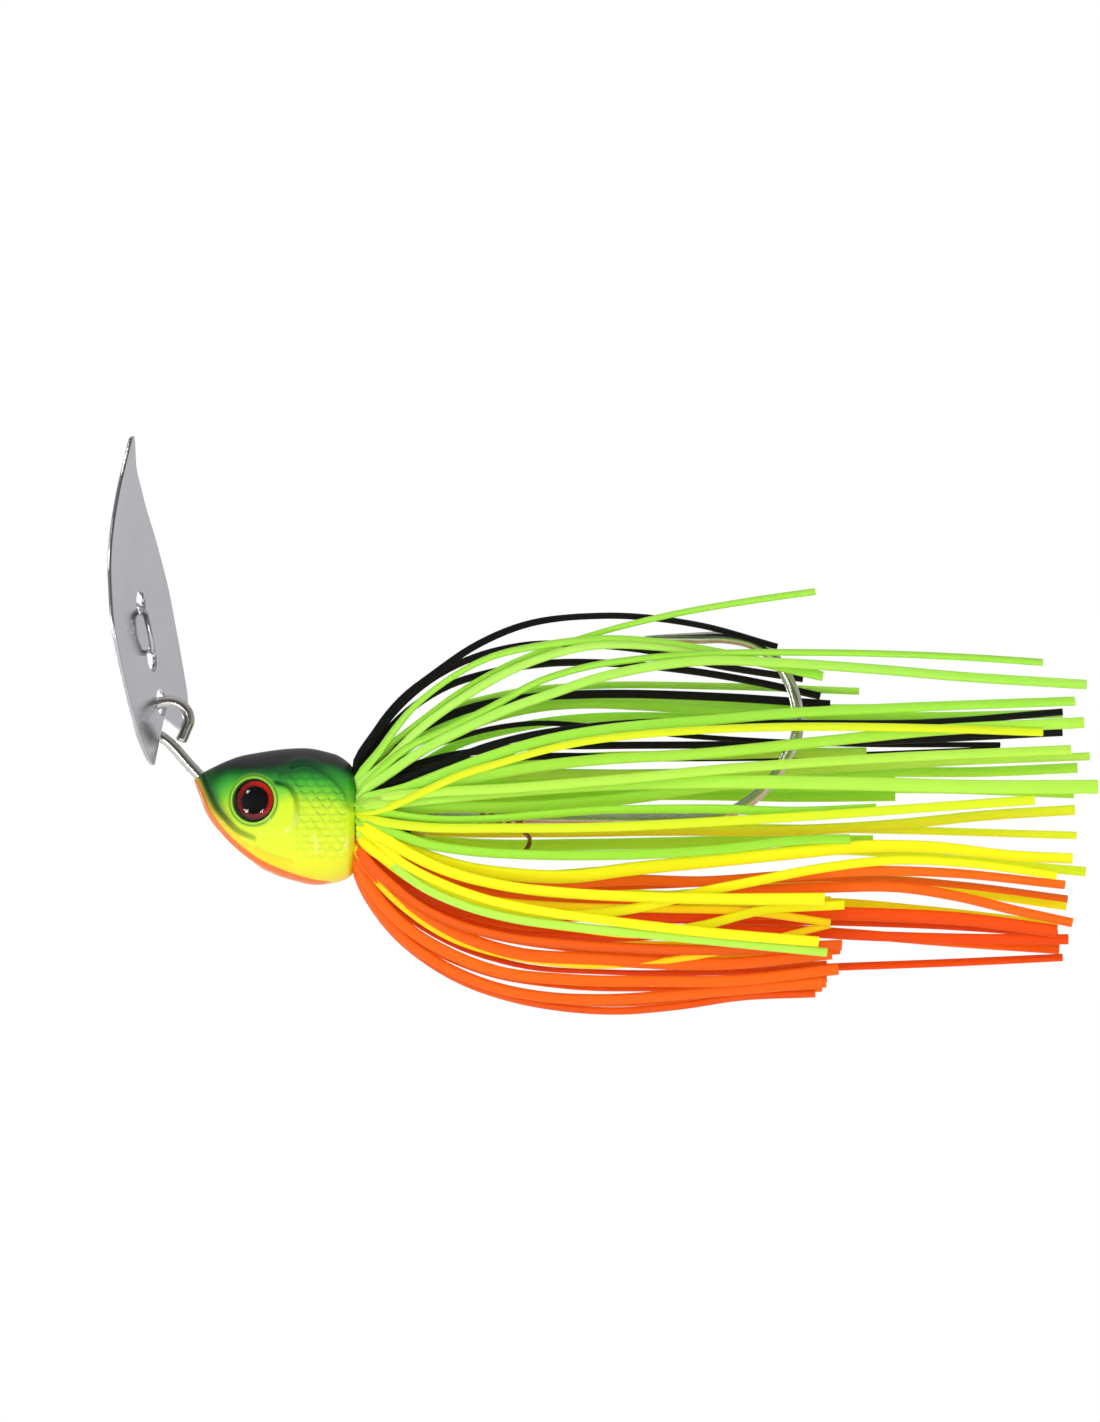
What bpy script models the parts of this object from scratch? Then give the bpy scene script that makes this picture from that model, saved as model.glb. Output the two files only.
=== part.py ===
"""Bladed jig: a weighted hook with a silicone skirt, and a steel blade that swings on the hook's eye.

The lure swims towards -X, its hook point is up (+Z) and its left side faces -Y.
The origin is the centre of the hook's eye. Outlines below are in millimetres, as (x, z) unless they say
otherwise, and become metres where a point is made.
"""

import math

import bmesh
import bpy
from mathutils import Matrix, Vector

MM = 0.001
PART_NAME = "bladed_jig"
GAP = 0.3                     # clearance kept between touching pieces, mm

# Hook: one wire of 1.44 mm, an open eye, a straight arm, a long shank and a round bend
HOOK_RADIUS = 0.72
EYE_HALF_LENGTH = 2.6
EYE_HALF_HEIGHT = 2.25
EYE_END = ((1.61, -2.61), (2.14, -1.3))
EYE_TO_ARM = ((-2.7, -0.8), (-2.1, -1.42), (-1.05, -1.92))
ARM_TO_SHANK = ((7.28, -10.35), (8.55, -11.25), (10.5, -11.6))
SHANK_MIDDLE = (14.0, 34.0)    # two places along the straight shank
SHANK_END = (60.0, -12.05)
HOOK_BEND = (
    (65.0, -11.95), (67.8, -11.4), (70.1, -10.2), (73.1, -7.6), (75.1, -4.5), (76.3, -1.9), (76.4, 1.4),
    (75.4, 4.7), (73.7, 7.4), (70.9, 9.3), (67.5, 10.0), (64.3, 9.95), (61.0, 9.95), (57.6, 10.0),
)
POINT_TAPER_START = 65.0      # x where the wire starts to narrow towards the point
POINT_LEAST_X = 57.0
POINT_TIP_RADIUS = 0.06
BARB = ((60.6, 9.75), (63.4, 8.25))
BARB_RADIUS = 0.42
BARB_TIP_SHARE = 0.12

# Lead head: a fish's head with a flat back and a barrel behind it for the skirt
HEAD_TOP = ((3.3, -7.1), (4.6, -6.2), (9.6, -4.2), (16.4, -3.4), (20.2, -4.1), (22.0, -5.2), (22.8, -6.3))
HEAD_BOTTOM = (
    (3.3, -7.7), (3.9, -9.2), (4.6, -11.1), (6.4, -13.8), (8.9, -16.3), (11.4, -18.0), (15.0, -19.4),
    (18.1, -20.0), (20.5, -19.7), (22.0, -19.1), (22.8, -18.2),
)
HEAD_HALF_WIDTH = (
    (3.3, 0.6), (4.2, 1.9), (6.4, 3.5), (10.5, 5.3), (15.0, 6.3), (18.5, 6.6), (21.8, 6.2), (22.8, 5.3),
)
HEAD_STATIONS = 20
HEAD_SIDES = 32
HEAD_SQUARENESS = 0.92        # 1 is an ellipse, less is fuller
HEAD_WIDEST_LEVEL = 0.52      # height of the widest line, as a share of the section's height
BARREL_RADIUS = 2.2
BARREL_LIP_RADIUS = 2.45
BARREL_START = 21.0
BARREL_END = 31.5
BARREL_LIP = (1.6, 0.9, 0.3)  # the lip's rise, crest and fall, as distances before the barrel's end
BARREL_END_CHAMFER = 0.1
TUNNEL_MOUTH = (1.5, -4.32)   # the hook's way through the lead opens in front of the nose
TUNNEL_END = 36.0
AXIS_HEIGHT = -11.8           # height of the shank where the skirt is held

# Eyes: a printed foil disc under a clear dome, in a round socket on each cheek
EYE_CENTRE = (10.5, -9.7)
EYE_RADIUS = 2.5
SOCKET_DEPTH = 0.9
SOCKET_TOOL_DEPTH = 6.0
FOIL_THICKNESS = 0.3
DOME_RIM = 0.35
DOME_HEIGHT = 0.9
DOME_STEP = 15                # degrees between the rings of a dome

# Bait keeper: a spring of thin bronze wire on the shank, ending in a prong
KEEPER_WIRE_RADIUS = 0.28
KEEPER_START = 37.2
KEEPER_TURNS = 4.75
KEEPER_PITCH = 1.15
KEEPER_STEPS_PER_TURN = 14
KEEPER_PRONG = ((43.2, -13.5), (43.95, -14.5), (43.6, -15.6), (42.0, -16.5))

# Skirt: rubber band, and the strands in bundles of one colour
BAND_START = 25.6
BAND_END = 29.6
BAND_INNER_RADIUS = 4.0
BAND_OUTER_RADIUS = 4.9
BAND_ROUNDING = 0.3
# (x, distance from the shank's axis) along a bundle, and the bundle's own radius there
SHORT_ROUTE = (
    (24.0, 3.4, 0.55), (23.95, 5.4, 0.8), (24.7, 8.4, 0.95), (27.5, 13.2, 1.15), (33.0, 18.4, 1.3),
    (41.0, 22.0, 1.4), (50.0, 23.4, 1.4), (62.0, 22.9, 1.35), (72.0, 21.3, 1.3), (80.0, 19.2, 1.2),
)
LONG_ROUTE = (
    (25.2, 3.15, 0.36), (31.0, 3.2, 0.38), (37.0, 4.9, 0.7), (50.0, 8.8, 1.1), (65.0, 12.0, 1.3),
    (85.0, 14.9, 1.35), (109.0, 17.0, 1.25),
)
SHORT_FLATTENING = 0.78       # width of the skirt over its height, towards the tail
LONG_FLATTENING = 0.76
FLATTENING_RUN = 0.4          # share of its length over which the skirt becomes that narrow
# (name, angle from straight up to the left side, stretch of the bundle's end past its route)
SHORT_BUNDLES = (
    ("black", 15, -3.0), ("lime", 45, 2.0), ("green", 75, 0.0),
    ("yellow", 105, 1.5), ("amber", 135, 0.0), ("orange", 165, -1.0),
)
LONG_BUNDLES = (
    ("lime", 30, 0.0), ("black", 50, -0.8), ("green", 71, 2.5), ("chartreuse", 93, 3.5),
    ("yellow", 115, 0.5), ("orange", 138, -0.5), ("red_orange", 162, -1.5),
)

# Blade: thin steel, pointed above, with two lobes and a notch below, bowed forwards
BLADE_THICKNESS = 0.52
BLADE_YAW = math.radians(16.4)
BLADE_ROLL = math.radians(16.0)
BLADE_HANG = (-1.0, 2.2)      # centre of the hole that takes the hook's eye
BLADE_LEAN = (-0.097, 0.995)  # the long axis as it shows from the left side
BLADE_TOP = 33.2              # distance of the tip above the eye hole
# half width at a distance above the eye hole
BLADE_HALF_WIDTH = (
    (-6.2, 9.0), (-1.0, 9.6), (5.2, 10.3), (10.5, 10.5), (17.8, 8.9), (24.2, 5.7), (29.2, 2.5), (32.2, 1.0),
    (33.2, 0.45),
)
BLADE_BOW = ((-6.2, 0.65), (0.0, 0.0), (7.0, -0.75), (15.0, -1.4), (21.0, -1.6), (27.0, -1.15), (33.2, 0.1))
NOTCH_TOP = -2.0
LOBE_BOTTOM = -6.1
LOBE_PLACE = 0.72             # lobe's lowest point, as a share of the half width
BLADE_SHOULDER = -1.2
BLADE_ROWS = 22
BLADE_COLUMNS = 16
EYE_HOLE_RADIUS = 1.6
SNAP_HOLE_RADIUS = 1.5
SNAP_HOLES = (5.5, 12.5)      # distances of the two snap holes above the eye hole
HOLE_TOOL_DEPTH = 5.0
BLADE_PIVOT = (-0.2, 0.1)     # centre that the hole turns about as it slides round the eye

# Snap: a spring wire clip through the two upper holes, lying over to the far side
SNAP_WIRE_RADIUS = 0.375
SNAP_SWING = math.radians(52.0)
# (along the hinge, out from it, beside the loop's plane)
SNAP_ROUTE = (
    (-2.2, 5.0, 1.05), (-1.1, 4.3, 0.75), (0.6, 3.7, 0.55), (2.3, 2.9, 0.25), (2.95, 1.5, 0.0),
    (2.75, 0.3, 0.0),
    (2.65, -0.8, 0.0), (2.3, -1.65, 0.0), (1.4, -1.95, 0.0), (-1.4, -1.95, 0.0), (-2.3, -1.65, 0.0),
    (-2.65, -0.8, 0.0), (-2.75, 0.3, 0.0), (-2.95, 1.5, 0.0), (-2.75, 4.5, 0.0), (-1.9, 7.6, 0.0),
    (-1.15, 9.3, 0.0), (0.0, 10.2, 0.0), (1.15, 9.3, 0.0), (1.7, 7.6, 0.0), (1.45, 5.9, 0.0),
    (0.5, 4.95, 0.0),
)

# How finely round shapes are cut: turn of a bend in one step, and sides of a circle
TURN_PER_STEP = math.radians(15.0)
BUNDLE_TURN_PER_STEP = math.radians(12.0)
SNAP_TURN_PER_STEP = math.radians(20.0)
EYE_LOOP_STEP = 20            # degrees between the points of the hook's eye
BARREL_SIDES = 24
SOCKET_SIDES = 40
EYE_SIDES = 36
BAND_SIDES = 32
HOLE_SIDES = 28
WELD_DISTANCE = 1e-6
SHARP_WIRE_ANGLE = math.radians(50)
SHARP_CASTING_ANGLE = math.radians(40)


# ---------------------------------------------------------------- scene and materials

def clear_scene():
    for obj in list(bpy.data.objects):
        bpy.data.objects.remove(obj, do_unlink=True)
    for collection in list(bpy.data.collections):
        bpy.data.collections.remove(collection)


def make_collection(name):
    collection = bpy.data.collections.new(name)
    bpy.context.scene.collection.children.link(collection)
    return collection


def make_material(name, colour, roughness, metallic=0.0):
    material = bpy.data.materials.get(name)
    if material:
        return material
    material = bpy.data.materials.new(name)
    material.use_nodes = True
    shader = material.node_tree.nodes["Principled BSDF"]
    shader.inputs["Base Color"].default_value = (*colour, 1.0)
    shader.inputs["Roughness"].default_value = roughness
    shader.inputs["Metallic"].default_value = metallic
    return material


MATERIALS = {
    "nickel": ((0.62, 0.6, 0.57), 0.22, 1.0),
    "stainless": ((0.66, 0.66, 0.68), 0.18, 1.0),
    "bronze": ((0.42, 0.22, 0.08), 0.35, 1.0),
    "head_paint": ((0.35, 0.75, 0.08), 0.2, 0.0),
    "foil": ((0.45, 0.05, 0.03), 0.3, 0.6),
    "clear_resin": ((0.9, 0.9, 0.9), 0.05, 0.0),
    "rubber": ((0.05, 0.05, 0.05), 0.7, 0.0),
    "black": ((0.01, 0.01, 0.012), 0.4, 0.0),
    "lime": ((0.35, 0.85, 0.12), 0.45, 0.0),
    "green": ((0.28, 0.72, 0.05), 0.45, 0.0),
    "chartreuse": ((0.6, 0.9, 0.05), 0.45, 0.0),
    "yellow": ((0.95, 0.85, 0.02), 0.45, 0.0),
    "amber": ((1.0, 0.6, 0.02), 0.45, 0.0),
    "orange": ((1.0, 0.28, 0.02), 0.45, 0.0),
    "red_orange": ((0.95, 0.2, 0.02), 0.45, 0.0),
}


def finish_part(obj, material_name, collection):
    obj.data.materials.clear()
    obj.data.materials.append(make_material(material_name, *MATERIALS[material_name]))
    collection.objects.link(obj)
    return obj


def make_cutter(obj, collection):
    obj.hide_render = True
    obj.display_type = "WIRE"
    collection.objects.link(obj)
    return obj


# ---------------------------------------------------------------- shapes

def on_centre_plane(x, z):
    return Vector((x, 0.0, z)) * MM


def hermite(a, b, slope_a, slope_b, span, share):
    """The cubic from a to b over span, with the given slopes at its ends, at a share of the way."""
    s2 = share * share
    s3 = s2 * share
    return (
        a * (2 * s3 - 3 * s2 + 1) + slope_a * (span * (s3 - 2 * s2 + share))
        + b * (3 * s2 - 2 * s3) + slope_b * (span * (s3 - s2))
    )


def read_outline(outline, x):
    """The height of a smooth outline at x, where the outline is a list of (x, height) points."""
    slopes = []
    steps = [
        (high[1] - low[1]) / (high[0] - low[0])
        for low, high in zip(outline, outline[1:])
    ]
    for before, after in zip([steps[0]] + steps, steps + [steps[-1]]):
        same_way = before * after > 0
        slopes.append(2 * before * after / (before + after) if same_way else 0.0)
    x = min(max(x, outline[0][0]), outline[-1][0])
    index = max(i for i in range(len(outline) - 1) if outline[i][0] <= x)
    (x0, y0), (x1, y1) = outline[index], outline[index + 1]
    return hermite(y0, y1, slopes[index], slopes[index + 1], x1 - x0, (x - x0) / (x1 - x0))


def smooth_path(points, turn=TURN_PER_STEP):
    """Points along a smooth curve through vectors of any size, closer together where it bends."""
    lengths = [(b.xyz - a.xyz).length for a, b in zip(points, points[1:])]
    steps = [(b - a) / length for a, b, length in zip(points, points[1:], lengths)]
    slopes = [steps[0]]
    for before, after, l0, l1 in zip(steps, steps[1:], lengths, lengths[1:]):
        slopes.append((before * l1 + after * l0) / (l0 + l1))
    slopes.append(steps[-1])
    path = [points[0]]
    for i, length in enumerate(lengths):
        bend = slopes[i].xyz.angle(steps[i].xyz) + steps[i].xyz.angle(slopes[i + 1].xyz)
        count = max(1, math.ceil(bend / turn))
        for k in range(1, count + 1):
            path.append(hermite(points[i], points[i + 1], slopes[i], slopes[i + 1], length, k / count))
    return path


def wire_curve(name, path, radius, shares=None, resolution=2):
    """A curve object of round section along the path, with filled ends."""
    curve = bpy.data.curves.new(name, "CURVE")
    curve.dimensions = "3D"
    curve.bevel_depth = radius * MM
    curve.bevel_resolution = resolution
    curve.use_fill_caps = True
    spline = curve.splines.new("POLY")
    spline.points.add(len(path) - 1)
    for index, (point, place) in enumerate(zip(spline.points, path)):
        point.co = (*place.xyz, 1.0)
        point.radius = shares[index] if shares else 1.0
    return bpy.data.objects.new(name, curve)


def wire_mesh(name, path, radius, shares=None, resolution=2):
    """The same wire as a mesh, its end caps welded to it, for pieces that are cut or joined."""
    curve_object = wire_curve(name + "_curve", path, radius, shares, resolution)
    scene_objects = bpy.context.scene.collection.objects
    scene_objects.link(curve_object)
    evaluated = curve_object.evaluated_get(bpy.context.evaluated_depsgraph_get())
    mesh = bpy.data.meshes.new_from_object(evaluated)
    mesh.name = name
    obj = bpy.data.objects.new(name, mesh)
    obj.matrix_world = curve_object.matrix_world
    bpy.data.objects.remove(curve_object, do_unlink=True)
    shape = bmesh.new()
    shape.from_mesh(mesh)
    bmesh.ops.remove_doubles(shape, verts=shape.verts, dist=WELD_DISTANCE)
    shape.to_mesh(mesh)
    shape.free()
    mesh.shade_smooth()
    mesh.set_sharp_from_angle(angle=SHARP_WIRE_ANGLE)
    return obj


def turned_object(name, profile, axis_start, steps):
    """A profile of (along, radius) points turned about an axis that runs along +X."""
    mesh = bpy.data.meshes.new(name)
    shape = bmesh.new()
    verts = [shape.verts.new((radius * MM, 0.0, along * MM)) for along, radius in reversed(profile)]
    for index in range(len(verts) - 1):
        shape.edges.new((verts[index], verts[index + 1]))
    closed = profile[0][1] > 0
    if closed:
        shape.edges.new((verts[-1], verts[0]))
    shape.to_mesh(mesh)
    shape.free()
    obj = bpy.data.objects.new(name, mesh)
    obj.matrix_world = Matrix.Translation(axis_start) @ Matrix.Rotation(math.pi / 2, 4, "Y")
    screw = obj.modifiers.new("turn", "SCREW")
    screw.axis = "Z"
    screw.angle = 2 * math.pi
    screw.steps = steps
    screw.render_steps = steps
    screw.use_merge_vertices = True
    screw.merge_threshold = WELD_DISTANCE
    screw.use_smooth_shade = True
    return obj


def add_boolean(obj, tool, operation):
    modifier = obj.modifiers.new(tool.name, "BOOLEAN")
    modifier.operation = operation
    modifier.solver = "EXACT"
    modifier.object = tool


def set_origin(obj, origin):
    obj.data.transform(Matrix.Translation(-origin))
    obj.location = origin


# ---------------------------------------------------------------- hook

def hook_route():
    """The hook's wire from the cut end of its eye to its point, and the wire's radius as a share."""
    eye = [
        (EYE_HALF_LENGTH * math.cos(turn), EYE_HALF_HEIGHT * math.sin(turn))
        for turn in (math.radians(degrees) for degrees in range(0, 181, EYE_LOOP_STEP))
    ]
    shank_middle = [(x, shank_height(x)) for x in SHANK_MIDDLE]
    flat = [*EYE_END, *eye, *EYE_TO_ARM, (3.16, -6.05), *ARM_TO_SHANK, *shank_middle, SHANK_END, *HOOK_BEND]
    path = smooth_path([on_centre_plane(x, z) for x, z in flat])
    tip = path[-1].x
    shares = []
    for place in path:
        on_point = place.z > 0 and POINT_LEAST_X < place.x / MM < POINT_TAPER_START
        to_tip = (place.x - tip) / (POINT_TAPER_START * MM - tip)
        least = POINT_TIP_RADIUS / HOOK_RADIUS
        shares.append(least + (1 - least) * math.sqrt(max(to_tip, 0.0)) if on_point else 1.0)
    return path, shares


def shank_height(x):
    """Height of the straight shank's middle at x."""
    start_x, start_z = ARM_TO_SHANK[-1]
    return start_z + (x - start_x) * (SHANK_END[1] - start_z) / (SHANK_END[0] - start_x)


def make_hook(parts, cutters):
    path, shares = hook_route()
    hook = wire_mesh("hook", path, HOOK_RADIUS, shares, resolution=3)
    barb_path = [on_centre_plane(*place) for place in BARB]
    barb = make_cutter(wire_mesh("barb_tool", barb_path, BARB_RADIUS, (1.0, BARB_TIP_SHARE)), cutters)
    add_boolean(hook, barb, "UNION")
    return finish_part(hook, "nickel", parts)


# ---------------------------------------------------------------- head and eyes

def head_section(x):
    top = read_outline(HEAD_TOP, x)
    bottom = read_outline(HEAD_BOTTOM, x)
    middle = bottom + HEAD_WIDEST_LEVEL * (top - bottom)
    return top, bottom, middle, read_outline(HEAD_HALF_WIDTH, x)


def fuller(value):
    return math.copysign(abs(value) ** HEAD_SQUARENESS, value)


def head_ring(x):
    top, bottom, middle, half_width = head_section(x)
    ring = []
    for side in range(HEAD_SIDES):
        turn = 2 * math.pi * side / HEAD_SIDES
        reach = top - middle if math.sin(turn) > 0 else middle - bottom
        y = half_width * fuller(math.cos(turn))
        z = middle + reach * fuller(math.sin(turn))
        ring.append(Vector((x, y, z)) * MM)
    return ring


def head_cheek(x, z):
    """The point of the left cheek at x and height z."""
    top, bottom, middle, half_width = head_section(x)
    reach = top - middle if z > middle else middle - bottom
    level = min(abs(z - middle) / reach, 1.0) ** (1 / HEAD_SQUARENESS)
    y = -half_width * math.sqrt(1 - level * level) ** HEAD_SQUARENESS
    return Vector((x, y, z)) * MM


def loft(name, rings):
    mesh = bpy.data.meshes.new(name)
    shape = bmesh.new()
    rows = [[shape.verts.new(point) for point in ring] for ring in rings]
    for row, following in zip(rows, rows[1:]):
        for side in range(len(row)):
            after = (side + 1) % len(row)
            shape.faces.new((row[side], following[side], following[after], row[after]))
    shape.faces.new(rows[0])
    shape.faces.new(list(reversed(rows[-1])))
    bmesh.ops.recalc_face_normals(shape, faces=shape.faces)
    shape.to_mesh(mesh)
    shape.free()
    mesh.shade_smooth()
    mesh.set_sharp_from_angle(angle=SHARP_CASTING_ANGLE)
    return bpy.data.objects.new(name, mesh)


def make_head(parts, cutters):
    start, end = HEAD_TOP[0][0], HEAD_TOP[-1][0]
    stations = []
    for index in range(HEAD_STATIONS + 1):
        share = 0.5 - 0.5 * math.cos(math.pi * index / HEAD_STATIONS)
        stations.append(start + (end - start) * share)
    head = loft("head", [head_ring(x) for x in stations])
    length = BARREL_END - BARREL_START
    rise, crest, fall = BARREL_LIP
    profile = (
        (0.0, 0.0), (0.0, BARREL_RADIUS), (length - rise, BARREL_RADIUS),
        (length - crest, BARREL_LIP_RADIUS), (length - fall, BARREL_LIP_RADIUS),
        (length, BARREL_RADIUS - BARREL_END_CHAMFER), (length, 0.0),
    )
    barrel = turned_object("barrel_tool", profile, on_centre_plane(BARREL_START, AXIS_HEIGHT), BARREL_SIDES)
    add_boolean(head, make_cutter(barrel, cutters), "UNION")
    path, _ = hook_route()
    mouth = on_centre_plane(*TUNNEL_MOUTH)
    inside = [place for place in path if mouth.x < place.x < TUNNEL_END * MM and place.z < mouth.z]
    tunnel = wire_mesh("tunnel_tool", [mouth, *inside], HOOK_RADIUS + GAP, resolution=3)
    add_boolean(head, make_cutter(tunnel, cutters), "DIFFERENCE")
    for side in ("left", "right"):
        centre, outward = eye_seat(side)
        radius = (EYE_RADIUS + GAP) * MM
        depth = SOCKET_TOOL_DEPTH * MM
        bpy.ops.mesh.primitive_cylinder_add(vertices=SOCKET_SIDES, radius=radius, depth=depth)
        socket = bpy.context.active_object
        socket.name = f"socket_tool_{side}"
        lift = SOCKET_TOOL_DEPTH / 2 - SOCKET_DEPTH
        socket.matrix_world = seat_matrix(centre + outward * (lift * MM), outward)
        for holder in list(socket.users_collection):
            holder.objects.unlink(socket)
        add_boolean(head, make_cutter(socket, cutters), "DIFFERENCE")
    return finish_part(head, "head_paint", parts)


def eye_seat(side):
    """Centre of an eye on the cheek's surface, and the direction that it faces."""
    x, z = EYE_CENTRE
    centre = head_cheek(x, z)
    along = head_cheek(x + 1, z) - head_cheek(x - 1, z)
    upward = head_cheek(x, z + 1) - head_cheek(x, z - 1)
    outward = along.cross(upward).normalized()
    if side == "right":
        centre = Vector((centre.x, -centre.y, centre.z))
        outward = Vector((outward.x, -outward.y, outward.z))
    return centre, outward


def seat_matrix(place, outward):
    return Matrix.Translation(place) @ outward.to_track_quat("Z", "Y").to_matrix().to_4x4()


def make_eye(side, parts):
    """A foil disc at the bottom of the socket and a clear dome over it."""
    centre, outward = eye_seat(side)
    floor = centre - outward * (SOCKET_DEPTH * MM)
    foil_profile = (
        (0.0, 0.0), (0.0, EYE_RADIUS), (FOIL_THICKNESS, EYE_RADIUS), (FOIL_THICKNESS, 0.0),
    )
    foil_base = floor + outward * (GAP * MM)
    foil = turned_object(f"eye_foil_{side}", foil_profile, foil_base, EYE_SIDES)
    foil.matrix_world = seat_matrix(foil_base, outward)
    finish_part(foil, "foil", parts)
    dome_base = foil_base + outward * ((FOIL_THICKNESS + GAP) * MM)
    dome_profile = [(0.0, 0.0), (0.0, EYE_RADIUS), (DOME_RIM, EYE_RADIUS)]
    for degrees in range(DOME_STEP, 90, DOME_STEP):
        turn = math.radians(degrees)
        dome_profile.append((DOME_RIM + DOME_HEIGHT * math.sin(turn), EYE_RADIUS * math.cos(turn)))
    dome_profile.append((DOME_RIM + DOME_HEIGHT, 0.0))
    dome = turned_object(f"eye_dome_{side}", dome_profile, dome_base, EYE_SIDES)
    dome.matrix_world = seat_matrix(dome_base, outward)
    finish_part(dome, "clear_resin", parts)


# ---------------------------------------------------------------- bait keeper, band and skirt

def make_keeper(parts):
    wrap_radius = HOOK_RADIUS + GAP + KEEPER_WIRE_RADIUS
    points = []
    for index in range(int(KEEPER_TURNS * KEEPER_STEPS_PER_TURN) + 1):
        turn = 2 * math.pi * index / KEEPER_STEPS_PER_TURN
        x = KEEPER_START + KEEPER_PITCH * index / KEEPER_STEPS_PER_TURN
        z = shank_height(x) + wrap_radius * math.cos(turn)
        points.append(Vector((x, wrap_radius * math.sin(turn), z)) * MM)
    prong = [points[-1]] + [on_centre_plane(*place) for place in KEEPER_PRONG]
    path = points + smooth_path(prong)[1:]
    keeper = wire_mesh("bait_keeper", path, KEEPER_WIRE_RADIUS, resolution=1)
    return finish_part(keeper, "bronze", parts)


def make_band(parts):
    length = BAND_END - BAND_START
    profile = (
        (0.0, BAND_INNER_RADIUS), (0.0, BAND_OUTER_RADIUS - BAND_ROUNDING),
        (BAND_ROUNDING, BAND_OUTER_RADIUS),
        (length - BAND_ROUNDING, BAND_OUTER_RADIUS), (length, BAND_OUTER_RADIUS - BAND_ROUNDING),
        (length, BAND_INNER_RADIUS),
    )
    band = turned_object("skirt_band", profile, on_centre_plane(BAND_START, AXIS_HEIGHT), BAND_SIDES)
    return finish_part(band, "rubber", parts)


def bundle_route(route, angle, flattening, stretch):
    """The middle line of a bundle that leaves the band at an angle from straight up."""
    first, last = route[0][0], route[-1][0]
    places = []
    for x, distance, radius in route:
        share = max(0.0, (x - first) / (last - first))
        width = 1 + (flattening - 1) * min(1.0, share / FLATTENING_RUN)
        end_x = x + stretch * share
        y = -distance * width * math.sin(angle)
        z = AXIS_HEIGHT + distance * math.cos(angle)
        places.append(Vector((end_x * MM, y * MM, z * MM, radius)))
    return places


def smooth_bundle(places, turn):
    path = smooth_path([Vector((place.x, place.y, place.z)) for place in places], turn)
    shares = []
    widest = max(place.w for place in places)
    for point in path:
        nearest = min(range(len(places) - 1), key=lambda i: bundle_distance(places, i, point))
        low, high = places[nearest], places[nearest + 1]
        span = (high.xyz - low.xyz).length
        share = min((point - low.xyz).length / span, 1.0)
        shares.append((low.w + (high.w - low.w) * share) / widest)
    return path, shares, widest


def bundle_distance(places, index, point):
    middle = (places[index].xyz + places[index + 1].xyz) / 2
    return (point - middle).length / (places[index + 1].xyz - places[index].xyz).length


def make_bundle(name, route, degrees, flattening, stretch, material_name, parts):
    places = bundle_route(route, math.radians(degrees), flattening, stretch)
    path, shares, widest = smooth_bundle(places, BUNDLE_TURN_PER_STEP)
    bundle = wire_curve(name, path, widest, shares, resolution=1)
    return finish_part(bundle, material_name, parts)


def make_skirt(parts):
    for side, sign in (("left", 1), ("right", -1)):
        for colour, degrees, stretch in SHORT_BUNDLES:
            name = f"skirt_short_{colour}_{side}"
            make_bundle(name, SHORT_ROUTE, sign * degrees, SHORT_FLATTENING, stretch, colour, parts)
        for colour, degrees, stretch in LONG_BUNDLES:
            name = f"skirt_long_{colour}_{side}"
            make_bundle(name, LONG_ROUTE, sign * degrees, LONG_FLATTENING, stretch, colour, parts)


# ---------------------------------------------------------------- blade and snap

def blade_axes():
    """The blade's directions: across to its far edge, up its length, and out of its hollow face."""
    across = Vector((
        math.sin(BLADE_YAW) * math.cos(BLADE_ROLL),
        math.cos(BLADE_YAW) * math.cos(BLADE_ROLL),
        math.sin(BLADE_ROLL),
    ))
    lean_x, lean_z = BLADE_LEAN
    sideways = -(across.x * lean_x + across.z * lean_z) / across.y
    up = Vector((lean_x, sideways, lean_z)).normalized()
    return across, up, across.cross(up).normalized()


def blade_point(along, sideways):
    """The point of the blade's middle surface at a distance above the eye hole and across."""
    across, up, out = blade_axes()
    place = up * along + across * sideways + out * read_outline(BLADE_BOW, along)
    return on_centre_plane(*BLADE_HANG) + place * MM


def blade_bottom(share):
    """Height of the blade's lower edge, from the notch in the middle to the shoulder at the side."""
    share = abs(share)
    if share < LOBE_PLACE:
        return NOTCH_TOP + (LOBE_BOTTOM - NOTCH_TOP) * share / LOBE_PLACE
    past = (share - LOBE_PLACE) / (1 - LOBE_PLACE)
    return LOBE_BOTTOM + (BLADE_SHOULDER - LOBE_BOTTOM) * past * past


def make_hole_tool(name, along, radius, cutters):
    _, _, out = blade_axes()
    bpy.ops.mesh.primitive_cylinder_add(vertices=HOLE_SIDES, radius=radius * MM, depth=HOLE_TOOL_DEPTH * MM)
    tool = bpy.context.active_object
    tool.name = name
    tool.matrix_world = seat_matrix(blade_point(along, 0.0), out)
    for holder in list(tool.users_collection):
        holder.objects.unlink(tool)
    return make_cutter(tool, cutters)


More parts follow.
